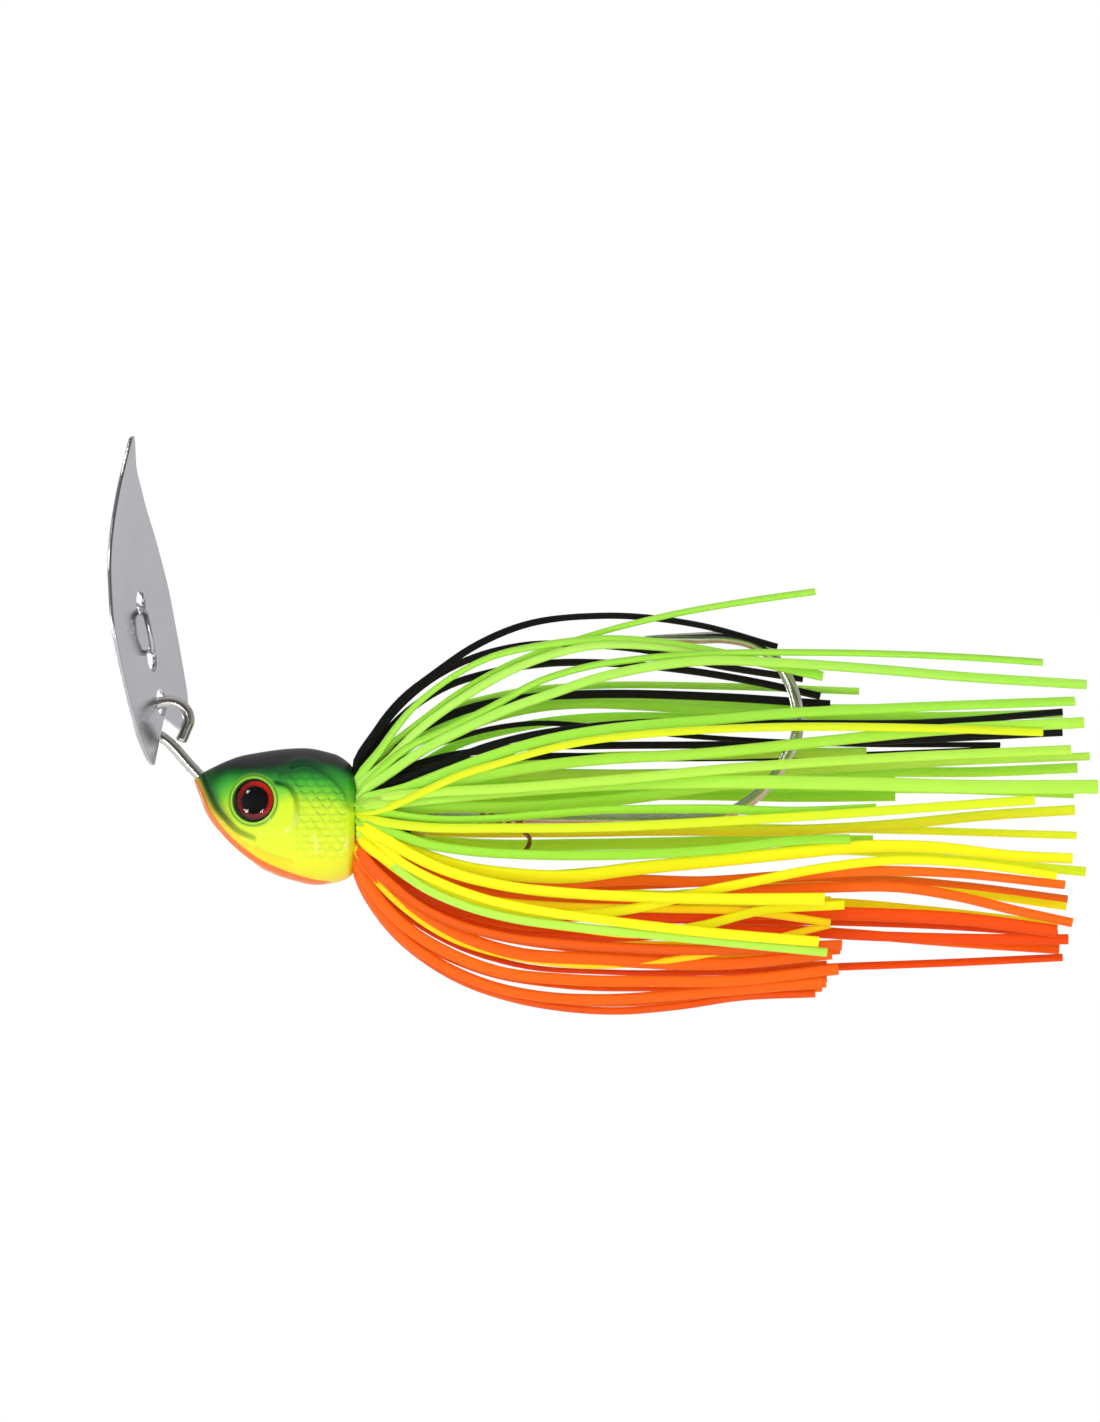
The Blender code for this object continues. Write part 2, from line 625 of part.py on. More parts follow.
def make_blade(parts, cutters):
    mesh = bpy.data.meshes.new("blade")
    shape = bmesh.new()
    grid = []
    for row in range(BLADE_ROWS + 1):
        line = []
        for column in range(BLADE_COLUMNS + 1):
            share = 2 * column / BLADE_COLUMNS - 1
            bottom = blade_bottom(share)
            along = bottom + (BLADE_TOP - bottom) * row / BLADE_ROWS
            sideways = share * read_outline(BLADE_HALF_WIDTH, along)
            line.append(shape.verts.new(blade_point(along, sideways)))
        grid.append(line)
    for row, above in zip(grid, grid[1:]):
        for column in range(BLADE_COLUMNS):
            shape.faces.new((row[column], row[column + 1], above[column + 1], above[column]))
    shape.to_mesh(mesh)
    shape.free()
    mesh.shade_smooth()
    blade = bpy.data.objects.new("blade", mesh)
    thicken = blade.modifiers.new("thickness", "SOLIDIFY")
    thicken.thickness = BLADE_THICKNESS * MM
    thicken.offset = 0.0
    set_origin(blade, on_centre_plane(*BLADE_PIVOT))
    add_boolean(blade, make_hole_tool("eye_hole_tool", 0.0, EYE_HOLE_RADIUS, cutters), "DIFFERENCE")
    for index, along in enumerate(SNAP_HOLES):
        tool = make_hole_tool(f"snap_hole_tool_{index}", along, SNAP_HOLE_RADIUS, cutters)
        add_boolean(blade, tool, "DIFFERENCE")
    return finish_part(blade, "stainless", parts)


def snap_axes():
    """Middle of the snap's hinge line, its direction, and the loop's outward and sideways directions."""
    low, high = (blade_point(along, 0.0) for along in SNAP_HOLES)
    hinge = (high - low).normalized()
    across, _, _ = blade_axes()
    forward = -across.cross(hinge).normalized()
    outward = forward * math.cos(SNAP_SWING) + across * math.sin(SNAP_SWING)
    return (low + high) / 2, hinge, outward, hinge.cross(outward)


def make_snap(parts):
    centre, hinge, outward, beside = snap_axes()
    points = [centre + (hinge * a + outward * b + beside * c) * MM for a, b, c in SNAP_ROUTE]
    snap = wire_mesh("line_snap", smooth_path(points, SNAP_TURN_PER_STEP), SNAP_WIRE_RADIUS, resolution=2)
    set_origin(snap, centre)
    return finish_part(snap, "stainless", parts)


def main():
    clear_scene()
    parts = make_collection(PART_NAME)
    cutters = make_collection("cutting_tools")
    make_hook(parts, cutters)
    make_head(parts, cutters)
    for side in ("left", "right"):
        make_eye(side, parts)
    make_keeper(parts)
    make_band(parts)
    make_skirt(parts)
    make_blade(parts, cutters)
    make_snap(parts)


main()
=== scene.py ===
"""Bladed jig: a painted lead head on a hook, a silicone skirt, and a steel blade with its line snap.

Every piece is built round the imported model, in its frame: +X is the tail, +Z the side of the hook's point and
-Y the left side. Sizes are in millimetres until a mesh is made.
"""

import math

import bmesh
import bpy
import numpy as np
from mathutils import Matrix, Vector


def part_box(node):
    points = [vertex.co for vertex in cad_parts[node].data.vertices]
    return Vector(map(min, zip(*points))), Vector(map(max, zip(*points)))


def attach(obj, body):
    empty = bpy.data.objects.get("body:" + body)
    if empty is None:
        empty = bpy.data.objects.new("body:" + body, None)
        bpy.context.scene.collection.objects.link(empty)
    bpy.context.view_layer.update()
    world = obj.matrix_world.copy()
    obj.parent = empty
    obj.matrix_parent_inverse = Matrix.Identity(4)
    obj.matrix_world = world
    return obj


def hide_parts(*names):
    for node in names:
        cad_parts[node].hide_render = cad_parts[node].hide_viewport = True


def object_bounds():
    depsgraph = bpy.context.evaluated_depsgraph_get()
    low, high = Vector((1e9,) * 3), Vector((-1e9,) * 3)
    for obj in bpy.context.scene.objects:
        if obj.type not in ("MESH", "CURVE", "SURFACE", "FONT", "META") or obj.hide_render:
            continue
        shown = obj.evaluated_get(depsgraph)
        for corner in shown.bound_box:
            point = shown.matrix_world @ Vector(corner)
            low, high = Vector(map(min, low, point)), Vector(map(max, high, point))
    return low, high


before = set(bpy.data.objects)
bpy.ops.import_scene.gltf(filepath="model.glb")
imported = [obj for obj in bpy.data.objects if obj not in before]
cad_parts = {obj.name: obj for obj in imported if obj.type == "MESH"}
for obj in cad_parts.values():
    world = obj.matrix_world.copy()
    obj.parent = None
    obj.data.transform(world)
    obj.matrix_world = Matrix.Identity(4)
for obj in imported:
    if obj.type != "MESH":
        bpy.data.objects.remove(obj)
CAD_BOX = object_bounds()

bl_info = {
    "name": "Bladed Jig",
    "version": (1, 0, 0),
    "blender": (4, 5, 0),
    "location": "View3D > Sidebar > Jig",
    "description": "Builds a bladed jig with a painted head, a silicone skirt and a steel blade",
    "category": "Object",
}

MM = 0.001
MODEL = "jig"
SEED = 7


# ---------------------------------------------------------------- sizes of the pieces, in millimetres

AXIS_HEIGHT = sum(corner.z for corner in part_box("skirt_band")) / 2 / MM
BAND_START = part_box("skirt_band")[0].x / MM
BAND_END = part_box("skirt_band")[1].x / MM

# Hook: the wire's route as (x, z)
EYE_HALF_LENGTH = 2.6
EYE_HALF_HEIGHT = 2.25
EYE_END = ((1.61, -2.61), (2.14, -1.3))
EYE_TO_ARM = ((-2.7, -0.8), (-2.1, -1.42), (-1.05, -1.92), (3.16, -6.05))
ARM_TO_SHANK = ((7.28, -10.35), (8.55, -11.25), (10.5, -11.6))
SHANK = ((14.0, -11.632), (34.0, -11.814), (60.0, -12.05))
HOOK_BEND = (
    (65.0, -11.95), (67.8, -11.4), (70.1, -10.2), (73.1, -7.6), (75.1, -4.5), (76.3, -1.9), (76.4, 1.4),
    (75.4, 4.7), (73.7, 7.4), (70.9, 9.3), (67.5, 10.0), (64.3, 9.95), (61.0, 9.95), (57.6, 10.0),
)
POINT_TAPER_START = 65.0
POINT_TIP_SHARE = 0.07
SHANK_SLOPE = -0.45 / 49.5
BARB = ((60.2, 9.85), (61.8, 9.25), (63.4, 8.3))
BARB_RADIUS = 0.42
BARB_TIP_SHARE = 0.12

# Head: outlines as (x, z) and (x, half width)
HEAD_TOP = ((3.3, -7.1), (4.6, -6.2), (9.6, -4.2), (16.4, -3.4), (20.2, -4.1), (22.0, -5.2), (22.8, -6.3))
HEAD_BOTTOM = (
    (3.3, -7.7), (3.9, -9.2), (4.6, -11.1), (6.4, -13.8), (8.9, -16.3), (11.4, -18.0), (15.0, -19.4),
    (18.1, -20.0), (20.5, -19.7), (22.0, -19.1), (22.8, -18.2),
)
HEAD_HALF_WIDTH = (
    (3.3, 0.6), (4.2, 1.9), (6.4, 3.5), (10.5, 5.3), (15.0, 6.3), (18.5, 6.6), (21.8, 6.2), (22.8, 5.3),
)
CHEEK_HEIGHT = 14.0
HEAD_SQUARENESS = 0.92
HEAD_WIDEST_LEVEL = 0.52
HEAD_STATIONS = 230
HEAD_SIDES = 320
BARREL = ((0.0, 2.2), (8.9, 2.2), (9.6, 2.45), (10.2, 2.45), (10.5, 2.1))
BARREL_START = 21.0

# Lines cast into the head or painted on it, as (x, z); the highlight lines carry painted highlights along the
# cheek's folds
MOUTH_LINE = ((4.2, -6.5), (4.9, -8.4), (6.05, -10.7), (7.1, -11.9), (8.5, -13.3), (10.5, -14.25))
GILL_LINE = ((13.3, -7.5), (14.8, -8.0), (15.6, -9.2), (15.9, -10.5), (15.7, -12.2), (15.1, -14.0))
THROAT_LINE = ((10.9, -15.7), (12.6, -16.5), (15.1, -17.2))
# Painted highlights: pale streaks painted along the cheek's folds
PAINTED_HIGHLIGHT_LINES = (
    ((15.9, -10.9), (15.7, -12.0), (15.2, -13.4)), ((17.7, -13.4), (18.2, -14.8), (18.3, -16.4)),
    ((21.7, -13.6), (21.8, -14.9), (21.7, -16.2)),
)
FRONT_FOLD = ((15.3, -12.6), (14.9, -14.2))
REAR_FOLD = ((17.6, -12.3), (18.2, -14.2), (18.3, -16.2))
COVER_LINE = (
    (15.2, -5.7), (16.6, -5.3), (17.9, -5.7), (19.2, -6.4), (20.7, -7.6), (21.7, -8.8), (22.15, -10.4),
)
BACK_EDGE = (
    (3.3, -7.2), (4.9, -6.95), (7.8, -5.75), (12.8, -5.6), (14.9, -5.15), (16.4, -4.9), (19.2, -5.05),
    (20.7, -5.4), (22.8, -6.3),
)

# Widths of painted stripes: the belly's as (x, width), the mouth's as (share of its line, width)
BELLY_PAINT = ((3.3, 0.4), (4.5, 0.62), (6.4, 0.8), (9.0, 0.92), (13.0, 1.0), (17.0, 0.8), (20.0, 0.4))
MOUTH_PAINT = ((0.0, 0.85), (0.3, 0.76), (0.6, 0.54), (1.0, 0.3))

# Grooves and folds of the cheek. Each line has strokes along it: how far beside the line, the width, the
# height (grooves are minus) and how much of the height is lost by the line's end.
CHEEK_STROKES = (
    (MOUTH_LINE, ((0.0, 0.26, -0.34, 0.5), (0.7, 0.4, 0.16, 0.0))),
    (GILL_LINE, ((0.0, 0.2, -0.3, 0.75), (0.55, 0.4, 0.2, 0.6))),
    (THROAT_LINE, ((0.0, 0.22, -0.16, 0.0),)),
    (COVER_LINE, ((0.0, 0.2, -0.26, 0.5), (0.5, 0.35, 0.14, 0.0))),
    (REAR_FOLD, ((0.0, 0.32, 0.13, 0.0),)),
    (FRONT_FOLD, ((0.0, 0.32, 0.13, 0.0),)),
)

# Scales: length, height of a row, and the level that the rows are counted from
SCALE_LENGTH = 1.3
SCALE_ROW = 0.86
SCALE_BASE = -20.0

# Eyes
EYE_CENTRE = (10.5, -9.7)
EYE_RADIUS = 2.58
EYE_REACH = 3.0
EYE_SIDES = 96
SOCKET_RADIUS = 2.66
SOCKET_DEPTH = 0.85
SOCKET_REACH = 4.0
FOIL_DEPTH = 0.8
FOIL_THICKNESS = 0.25
FOIL_EDGE = 0.05
DOME_DEPTH = 0.5
DOME_RIM = 0.2
DOME_RISE = 0.72

# Bait keeper
KEEPER_WIRE = 0.28
KEEPER_START = 37.2
KEEPER_TURNS = 4.75
KEEPER_PITCH = 1.15
KEEPER_PRONG = ((43.2, -13.5), (43.95, -14.5), (43.6, -15.6), (42.0, -16.5))

# Skirt band
BAND_WALL = 0.9
BAND_CHAMFER = 0.12
BAND_RIDGE = 0.09
BAND_RIDGES = 4
BAND_FLAT = 0.85
BAND_EDGE = 0.3

# Blade
BLADE_YAW = math.radians(16.4)
BLADE_ROLL = math.radians(16.0)
BLADE_HANG = (-1.0, 2.2)
BLADE_LEAN = (-0.097, 0.995)
BLADE_TOP = 33.2
BLADE_HALF_WIDTH = (
    (-6.2, 9.0), (-1.0, 9.6), (5.2, 10.3), (10.5, 10.5), (17.8, 8.9), (24.2, 5.7), (29.2, 2.5), (32.2, 1.0),
    (33.2, 0.45),
)
BLADE_BOW = (
    (-6.2, 0.65), (0.0, 0.0), (7.0, -0.75), (15.0, -1.4), (21.0, -1.6), (27.0, -1.15), (33.2, 0.1),
)
HOLE_FLARE = 0.14
HOLE_REACH = 3.0
NOTCH_TOP = -2.0
LOBE_BOTTOM = -6.1
LOBE_PLACE = 0.72
BLADE_SHOULDER = -1.2
BLADE_EDGE = 0.13
BLADE_ROWS = 96
BLADE_COLUMNS = 64
EYE_HOLE_RADIUS = 1.6
SNAP_HOLE_RADIUS = 1.5
SNAP_HOLES = (5.5, 12.5)

# Snap: (along the hinge, out from it, beside the loop's plane)
SNAP_SWING = math.radians(52.0)
SNAP_END_SHARE = 0.7
SNAP_ROUTE = (
    (-2.2, 5.0, 1.05), (-1.1, 4.3, 0.75), (0.6, 3.7, 0.55), (2.3, 2.9, 0.25), (2.95, 1.5, 0.0),
    (2.75, 0.3, 0.0), (2.65, -0.8, 0.0), (2.3, -1.65, 0.0), (1.4, -1.95, 0.0), (-1.4, -1.95, 0.0),
    (-2.3, -1.65, 0.0), (-2.65, -0.8, 0.0), (-2.75, 0.3, 0.0), (-2.95, 1.5, 0.0), (-2.75, 4.5, 0.0),
    (-1.9, 7.6, 0.0), (-1.15, 9.3, 0.0), (0.0, 10.2, 0.0), (1.15, 9.3, 0.0), (1.7, 7.6, 0.0),
    (1.45, 5.9, 0.0), (0.5, 4.95, 0.0),
)

# Skirt strands, by the bundle's length, colour and side. Each strand: how far it stands to the side where the
# skirt is fullest and at its end (left is minus), its width, and its route as (x, z) from the back of the head
# to its cut end.
STRANDS = {
    "short_black_left": (
        (-1.0, -1.2, 1.0, ((22.9, -6.6), (25.4, -1.2), (28.6, 2.7), (32.2, 5.5), (37.5, 9.1), (42.8, 11.4),
         (52.5, 12.65), (64.6, 11.5), (74.0, 8.9))),
    ),
    "short_black_right": (
        (3.0, 3.0, 1.15, ((23.1, -6.9), (26.0, -0.8), (30.4, 3.8), (35.7, 7.0), (42.8, 9.0), (50.0, 9.2),
         (57.1, 8.6), (67.3, 6.5), (77.1, 5.0))),
        (5.0, 4.5, 1.3, ((23.2, -7.2), (27.0, -1.0), (33.9, 4.1), (39.3, 5.8), (46.4, 6.9), (53.5, 6.9),
         (64.6, 5.8), (71.5, 4.6), (79.2, 2.9))),
        (7.5, 6.0, 1.2, ((23.3, -7.6), (28.0, -2.8), (36.0, 1.2), (44.6, 2.8), (50.0, 3.1), (67.0, 2.8),
         (80.4, 1.9))),
    ),
    "long_black_left": (
        (-6.0, -3.5, 1.0, ((23.2, -9.0), (28.4, -7.2), (32.4, -5.7), (37.8, -3.5), (43.3, -2.0), (48.8, -1.1),
         (56.0, -0.4), (75.0, -0.4), (92.4, -0.3), (108.6, 1.0))),
        (-2.0, 7.0, 0.8, ((23.2, -8.9), (24.6, -7.9), (28.2, -5.0), (35.0, -2.2), (40.0, -0.9), (44.4, -0.4),
         (52.0, -0.8), (64.0, -2.0), (82.0, -2.9), (101.0, -3.0))),
    ),
    "long_black_right": (
        (5.0, 4.0, 1.0, ((23.6, -8.4), (31.5, -5.0), (41.0, -3.4), (52.5, -3.1), (67.0, -3.0), (85.5, -2.6),
         (108.6, -1.5))),
        (9.5, 7.0, 1.0, ((23.8, -9.0), (31.0, -5.8), (43.0, -4.5), (60.0, -4.6), (80.0, -4.4),
         (101.0, -3.6))),
    ),
    "short_lime_left": (
        (-3.0, -2.5, 1.15, ((23.1, -7.6), (26.0, -3.9), (30.0, -0.6), (35.7, 3.6), (42.8, 7.4), (50.0, 9.9),
         (60.7, 12.7), (71.5, 14.6), (78.6, 15.6))),
        (-6.0, -3.6, 1.4, ((23.1, -8.0), (26.0, -3.4), (29.5, 1.2), (33.6, 4.6), (38.6, 7.4), (46.4, 9.2),
         (54.0, 9.8), (60.7, 9.2), (67.0, 8.1), (79.5, 5.3))),
        (-7.0, -3.0, 1.2, ((23.2, -8.4), (26.5, -5.2), (30.5, -1.2), (36.0, 2.8), (43.0, 6.6), (51.0, 8.9),
         (60.0, 8.8), (68.0, 7.5), (79.0, 6.2))),
    ),
    "short_lime_right": (
        (10.0, 7.0, 1.2, ((23.4, -8.4), (26.0, -4.9), (29.5, -1.4), (32.8, 0.9), (37.8, 2.4), (43.0, 3.5),
         (50.0, 4.1), (67.0, 4.1), (83.9, 3.5))),
        (6.5, 8.0, 1.1, ((23.4, -8.0), (27.0, -3.4), (33.0, 1.4), (41.0, 6.4), (50.0, 8.8), (60.0, 9.2),
         (70.0, 7.6), (78.8, 5.8))),
    ),
    "long_lime_left": (
        (-8.0, -5.0, 1.4, ((23.3, -9.0), (26.0, -5.9), (28.7, -3.6), (34.2, -1.0), (39.7, 1.8), (45.1, 4.7),
         (50.6, 6.4), (57.0, 7.4), (67.0, 8.1), (78.5, 8.2), (99.0, 7.5), (106.2, 7.0))),
        (-9.5, -4.0, 1.35, ((23.3, -9.4), (27.0, -6.4), (30.6, -3.9), (36.0, -1.1), (41.5, 1.4), (46.9, 3.3),
         (51.5, 4.9), (57.0, 6.2), (65.0, 7.2), (75.0, 6.9), (85.5, 6.2), (95.9, 5.3), (111.5, 4.3))),
        (-12.0, -8.0, 1.4, ((23.3, -9.9), (28.5, -8.4), (32.5, -6.9), (36.0, -5.5), (40.0, -4.1),
         (45.1, -2.6), (50.6, -1.5), (57.0, -0.7), (64.6, -0.1), (75.0, 0.8), (88.9, 1.5), (110.1, 2.3))),
    ),
    "long_lime_right": (
        (9.0, 6.0, 1.4, ((23.6, -8.8), (29.0, -5.0), (34.9, -1.4), (40.0, 0.5), (45.1, 1.6), (50.6, 2.0),
         (57.0, 1.8), (67.0, 1.1), (80.0, 0.6), (92.0, 0.4), (108.6, 0.8))),
        (12.0, 9.0, 1.5, ((23.8, -9.6), (26.0, -8.2), (30.6, -5.5), (36.0, -2.6), (41.0, -1.2), (45.1, -0.4),
         (50.6, 0.2), (58.0, 0.4), (67.0, 0.1), (80.0, -0.6), (95.0, -0.6), (111.2, -0.3))),
        (11.0, 8.0, 1.4, ((23.8, -9.2), (29.0, -3.6), (34.0, -0.2), (40.0, 1.6), (48.0, 2.8), (60.0, 2.6),
         (75.0, 1.6), (92.0, 1.6), (109.4, 2.4))),
    ),
    "short_green_left": (
        (-13.5, -12.0, 1.3, ((23.1, -11.0), (26.5, -11.3), (30.6, -11.9), (38.6, -12.0), (45.1, -11.5),
         (52.4, -10.95), (60.0, -10.8), (67.0, -10.8), (76.0, -11.1), (86.0, -10.7))),
        (-14.5, -12.5, 1.35, ((23.1, -12.2), (26.9, -13.5), (31.7, -15.1), (36.0, -15.8), (43.3, -16.3),
         (52.4, -16.4), (67.0, -15.7), (76.4, -14.6), (82.8, -14.4))),
        (-9.5, -8.5, 1.7, ((23.4, -10.9), (28.8, -10.7), (35.3, -10.55), (41.0, -10.6), (49.0, -10.2),
         (58.0, -9.2), (66.0, -8.0), (78.0, -7.4), (88.3, -7.2))),
        (-14.0, -11.0, 1.2, ((23.2, -13.2), (25.6, -15.8), (30.4, -19.9), (36.0, -22.5), (42.5, -24.2),
         (48.8, -25.0), (57.0, -25.9), (67.0, -26.9), (80.0, -28.2))),
    ),
    "short_green_right": (
        (10.0, 7.0, 1.4, ((23.8, -10.2), (31.0, -6.8), (41.0, -5.2), (52.0, -4.5), (64.0, -4.3), (75.0, -4.0),
         (84.8, -3.9))),
        (13.0, 9.0, 1.5, ((23.8, -11.0), (31.0, -9.9), (41.0, -9.3), (52.0, -9.1), (64.0, -9.1), (76.0, -9.3),
         (88.3, -9.2))),
        (15.0, 12.0, 1.7, ((23.8, -12.0), (27.0, -13.4), (31.0, -14.5), (38.0, -15.1), (50.0, -15.1),
         (66.0, -14.8), (85.6, -14.7))),
    ),
    "long_green_left": (
        (-11.0, -8.0, 1.5, ((23.3, -10.2), (28.0, -9.3), (32.4, -8.2), (40.0, -6.5), (45.1, -5.6),
         (52.4, -4.8), (64.6, -4.1), (78.5, -2.7), (92.4, -1.3), (111.2, -0.3))),
        (-14.0, -10.0, 1.4, ((23.0, -10.3), (25.1, -9.6), (30.6, -8.9), (41.5, -8.3), (49.0, -7.7),
         (56.0, -7.1), (67.0, -6.0), (83.5, -4.8), (109.6, -3.6))),
        (-12.0, -12.0, 1.9, ((23.4, -10.5), (30.0, -9.7), (41.0, -8.6), (52.0, -7.8), (64.6, -7.5),
         (83.0, -7.7), (98.0, -8.1), (112.9, -8.1))),
    ),
    "long_green_right": (
        (9.0, 7.0, 1.4, ((23.8, -9.8), (31.0, -7.6), (42.0, -6.6), (56.0, -6.6), (70.0, -6.3), (84.0, -5.6),
         (98.0, -4.9), (111.9, -4.4))),
        (12.5, 10.0, 1.4, ((23.8, -10.4), (32.0, -8.6), (44.0, -7.6), (58.0, -7.0), (72.0, -6.6),
         (86.0, -6.3), (98.0, -6.3), (110.4, -5.8))),
        (15.5, 13.0, 1.4, ((24.0, -11.2), (33.0, -10.2), (46.0, -8.8), (60.0, -8.3), (78.0, -8.3),
         (94.0, -8.3), (110.0, -8.9))),
    ),
    "long_chartreuse_left": (
        (-14.5, -9.0, 1.25, ((23.1, -11.4), (26.2, -10.8), (30.6, -8.9), (36.0, -6.5), (40.0, -5.3),
         (45.1, -3.8), (50.6, -2.6), (56.0, -1.9), (66.9, -1.1), (92.4, -1.0), (106.2, -1.5))),
        (-15.5, -12.0, 1.3, ((23.1, -11.6), (25.8, -12.3), (30.6, -12.95), (41.5, -13.1), (52.4, -13.0),
         (66.9, -12.3), (78.5, -11.6), (92.4, -10.6), (105.2, -9.7))),
    ),
    "long_chartreuse_right": (
        (7.0, 6.0, 1.5, ((23.8, -12.4), (32.0, -13.4), (45.0, -13.6), (60.0, -13.4), (75.0, -13.4),
         (88.0, -12.7), (99.0, -11.6), (110.1, -10.9))),
        (11.0, 9.0, 1.05, ((23.8, -12.6), (35.0, -13.6), (50.0, -13.5), (64.0, -13.1), (85.5, -13.3),
         (110.3, -14.0))),
        (14.0, 11.0, 1.3, ((23.8, -13.4), (32.0, -17.0), (42.0, -18.8), (54.0, -18.2), (66.0, -17.0),
         (82.0, -15.8), (95.9, -17.0), (111.4, -18.4))),
    ),
    "short_yellow_left": (
        (-15.5, -13.0, 1.8, ((23.2, -12.4), (26.9, -14.8), (34.2, -18.4), (41.5, -20.2), (48.8, -21.0),
         (56.0, -21.4), (67.0, -21.7), (79.7, -21.7))),
        (-15.0, -12.5, 1.5, ((23.2, -13.0), (25.4, -14.9), (28.0, -17.0), (33.5, -19.9), (39.7, -22.0),
         (45.1, -23.1), (52.4, -24.2), (67.0, -25.9), (79.0, -26.9))),
        (-12.5, -9.5, 1.3, ((23.4, -13.8), (28.0, -18.2), (33.5, -21.4), (41.0, -23.8), (50.0, -25.2),
         (57.0, -25.9), (64.6, -25.0), (71.5, -23.2), (82.1, -22.4))),
    ),
    "short_yellow_right": (
        (12.0, 9.0, 1.4, ((23.6, -13.6), (30.0, -19.5), (38.0, -22.0), (50.0, -22.6), (64.0, -22.4),
         (82.3, -22.6))),
        (14.5, 11.0, 1.4, ((23.6, -13.0), (32.0, -17.4), (44.0, -20.2), (58.0, -21.2), (70.0, -21.6),
         (80.5, -22.0))),
    ),
    "short_amber_left": (
        (-8.0, -8.5, 1.0, ((23.0, -15.2), (25.1, -19.1), (28.8, -22.9), (34.2, -26.4), (39.7, -28.3),
         (45.1, -29.3), (52.4, -29.8), (57.9, -29.5), (67.0, -28.1), (80.4, -24.8))),
        (-13.0, -9.0, 1.1, ((23.4, -14.2), (30.0, -18.9), (38.0, -21.6), (48.0, -22.6), (60.0, -22.9),
         (70.0, -23.2), (80.4, -24.6))),
    ),
    "short_amber_right": (
        (8.0, 7.0, 1.1, ((23.6, -15.0), (27.0, -20.8), (33.0, -25.4), (40.0, -28.2), (50.0, -29.6),
         (60.0, -29.4), (70.0, -28.8), (80.6, -28.6))),
        (11.0, 8.5, 1.1, ((23.6, -14.6), (29.0, -21.0), (38.0, -25.2), (50.0, -26.9), (64.0, -27.4),
         (81.0, -28.0))),
    ),
    "short_orange_left": (
        (-2.0, -3.0, 1.25, ((22.95, -16.9), (23.7, -20.4), (25.2, -23.0), (27.6, -26.0), (30.6, -28.6),
         (36.0, -31.8), (41.5, -33.7), (48.8, -35.0), (54.2, -35.3), (62.0, -34.7), (69.5, -33.6),
         (78.6, -33.2))),
        (-4.0, -5.5, 1.5, ((23.1, -16.7), (24.4, -20.9), (28.8, -26.6), (34.2, -30.2), (39.7, -32.4),
         (45.1, -33.5), (52.4, -33.9), (60.0, -33.5), (67.0, -32.9), (79.9, -31.8))),
        (-6.5, -6.0, 1.6, ((23.1, -16.2), (25.1, -20.9), (29.1, -25.2), (34.2, -28.3), (39.7, -30.4),
         (48.8, -31.5), (60.0, -31.7), (67.0, -31.7), (81.4, -30.2))),
        (-8.5, -6.5, 1.7, ((23.2, -15.6), (27.0, -20.4), (30.6, -23.3), (36.0, -26.3), (41.5, -28.1),
         (52.4, -29.0), (67.0, -29.6), (80.6, -28.3))),
        (-10.5, -8.0, 1.9, ((23.3, -15.0), (28.8, -21.3), (34.2, -24.4), (41.5, -26.4), (48.8, -27.2),
         (57.0, -27.7), (67.0, -27.9), (81.8, -27.3))),
    ),
    "short_orange_right": (
        (2.0, 2.5, 1.25, ((23.1, -17.0), (25.0, -22.4), (29.0, -27.3), (36.0, -31.4), (43.0, -33.4),
         (52.0, -34.3), (64.0, -33.7), (79.4, -32.4))),
        (4.5, 4.0, 1.4, ((23.2, -16.6), (25.5, -21.4), (31.0, -27.0), (38.0, -30.3), (48.0, -32.1),
         (60.0, -32.4), (80.0, -31.2))),
        (7.0, 5.5, 1.4, ((23.4, -15.8), (28.0, -22.0), (37.0, -26.9), (47.0, -29.0), (58.0, -29.7),
         (69.0, -30.2), (80.0, -29.6))),
        (9.5, 7.0, 1.4, ((23.4, -15.4), (29.0, -21.6), (38.0, -25.6), (48.0, -27.4), (58.0, -28.3),
         (69.0, -28.5), (81.6, -27.8))),
    ),
    "long_yellow_left": (
        (-12.0, -10.0, 1.9, ((23.2, -12.7), (25.1, -13.5), (31.7, -16.6), (36.0, -17.9), (41.5, -18.7),
         (48.8, -19.0), (56.0, -18.1), (67.0, -17.0), (76.0, -16.1), (85.5, -15.3), (92.4, -15.4),
         (102.9, -16.5), (109.8, -16.8))),
        (-13.0, -10.5, 1.35, ((23.3, -13.8), (30.0, -19.0), (38.0, -22.3), (47.0, -23.6), (57.0, -22.8),
         (64.6, -20.9), (71.5, -19.5), (78.5, -18.1), (88.9, -17.0), (98.0, -17.5), (107.9, -18.9))),
    ),
    "long_yellow_right": (
        (10.0, 7.0, 1.9, ((23.8, -13.8), (32.0, -18.6), (45.0, -21.6), (60.0, -21.6), (75.0, -20.0),
         (88.6, -19.7), (98.0, -20.7), (109.1, -22.3))),
        (7.0, 5.0, 1.4, ((23.8, -14.0), (33.0, -20.0), (48.0, -23.4), (64.0, -23.4), (79.9, -22.2),
         (92.4, -23.2), (108.0, -25.0))),
    ),
    "long_orange_left": (
        (-8.0, -7.0, 1.5, ((23.3, -14.2), (30.0, -17.8), (40.0, -19.7), (46.6, -19.9), (56.0, -19.4),
         (64.6, -19.6), (75.0, -18.9), (85.5, -18.3), (94.0, -18.5), (108.9, -20.0))),
        (-6.0, -5.0, 1.5, ((23.3, -14.8), (28.0, -17.4), (34.2, -19.8), (39.7, -21.2), (46.5, -22.2),
         (57.0, -22.2), (69.8, -20.8), (80.2, -20.3), (89.0, -20.3), (95.9, -21.4), (102.9, -23.1),
         (109.8, -24.6))),
    ),
    "long_orange_right": (
        (4.0, 3.5, 1.4, ((23.6, -14.6), (33.0, -18.8), (46.0, -20.2), (60.0, -20.0), (72.0, -19.4),
         (85.0, -19.2), (96.0, -20.0), (109.2, -21.7))),
        (6.0, 4.0, 1.4, ((23.6, -15.6), (33.0, -22.4), (46.0, -25.4), (58.0, -25.6), (69.8, -25.2),
         (84.0, -26.0), (93.5, -26.8), (108.2, -27.8))),
    ),
    "long_red_orange_left": (
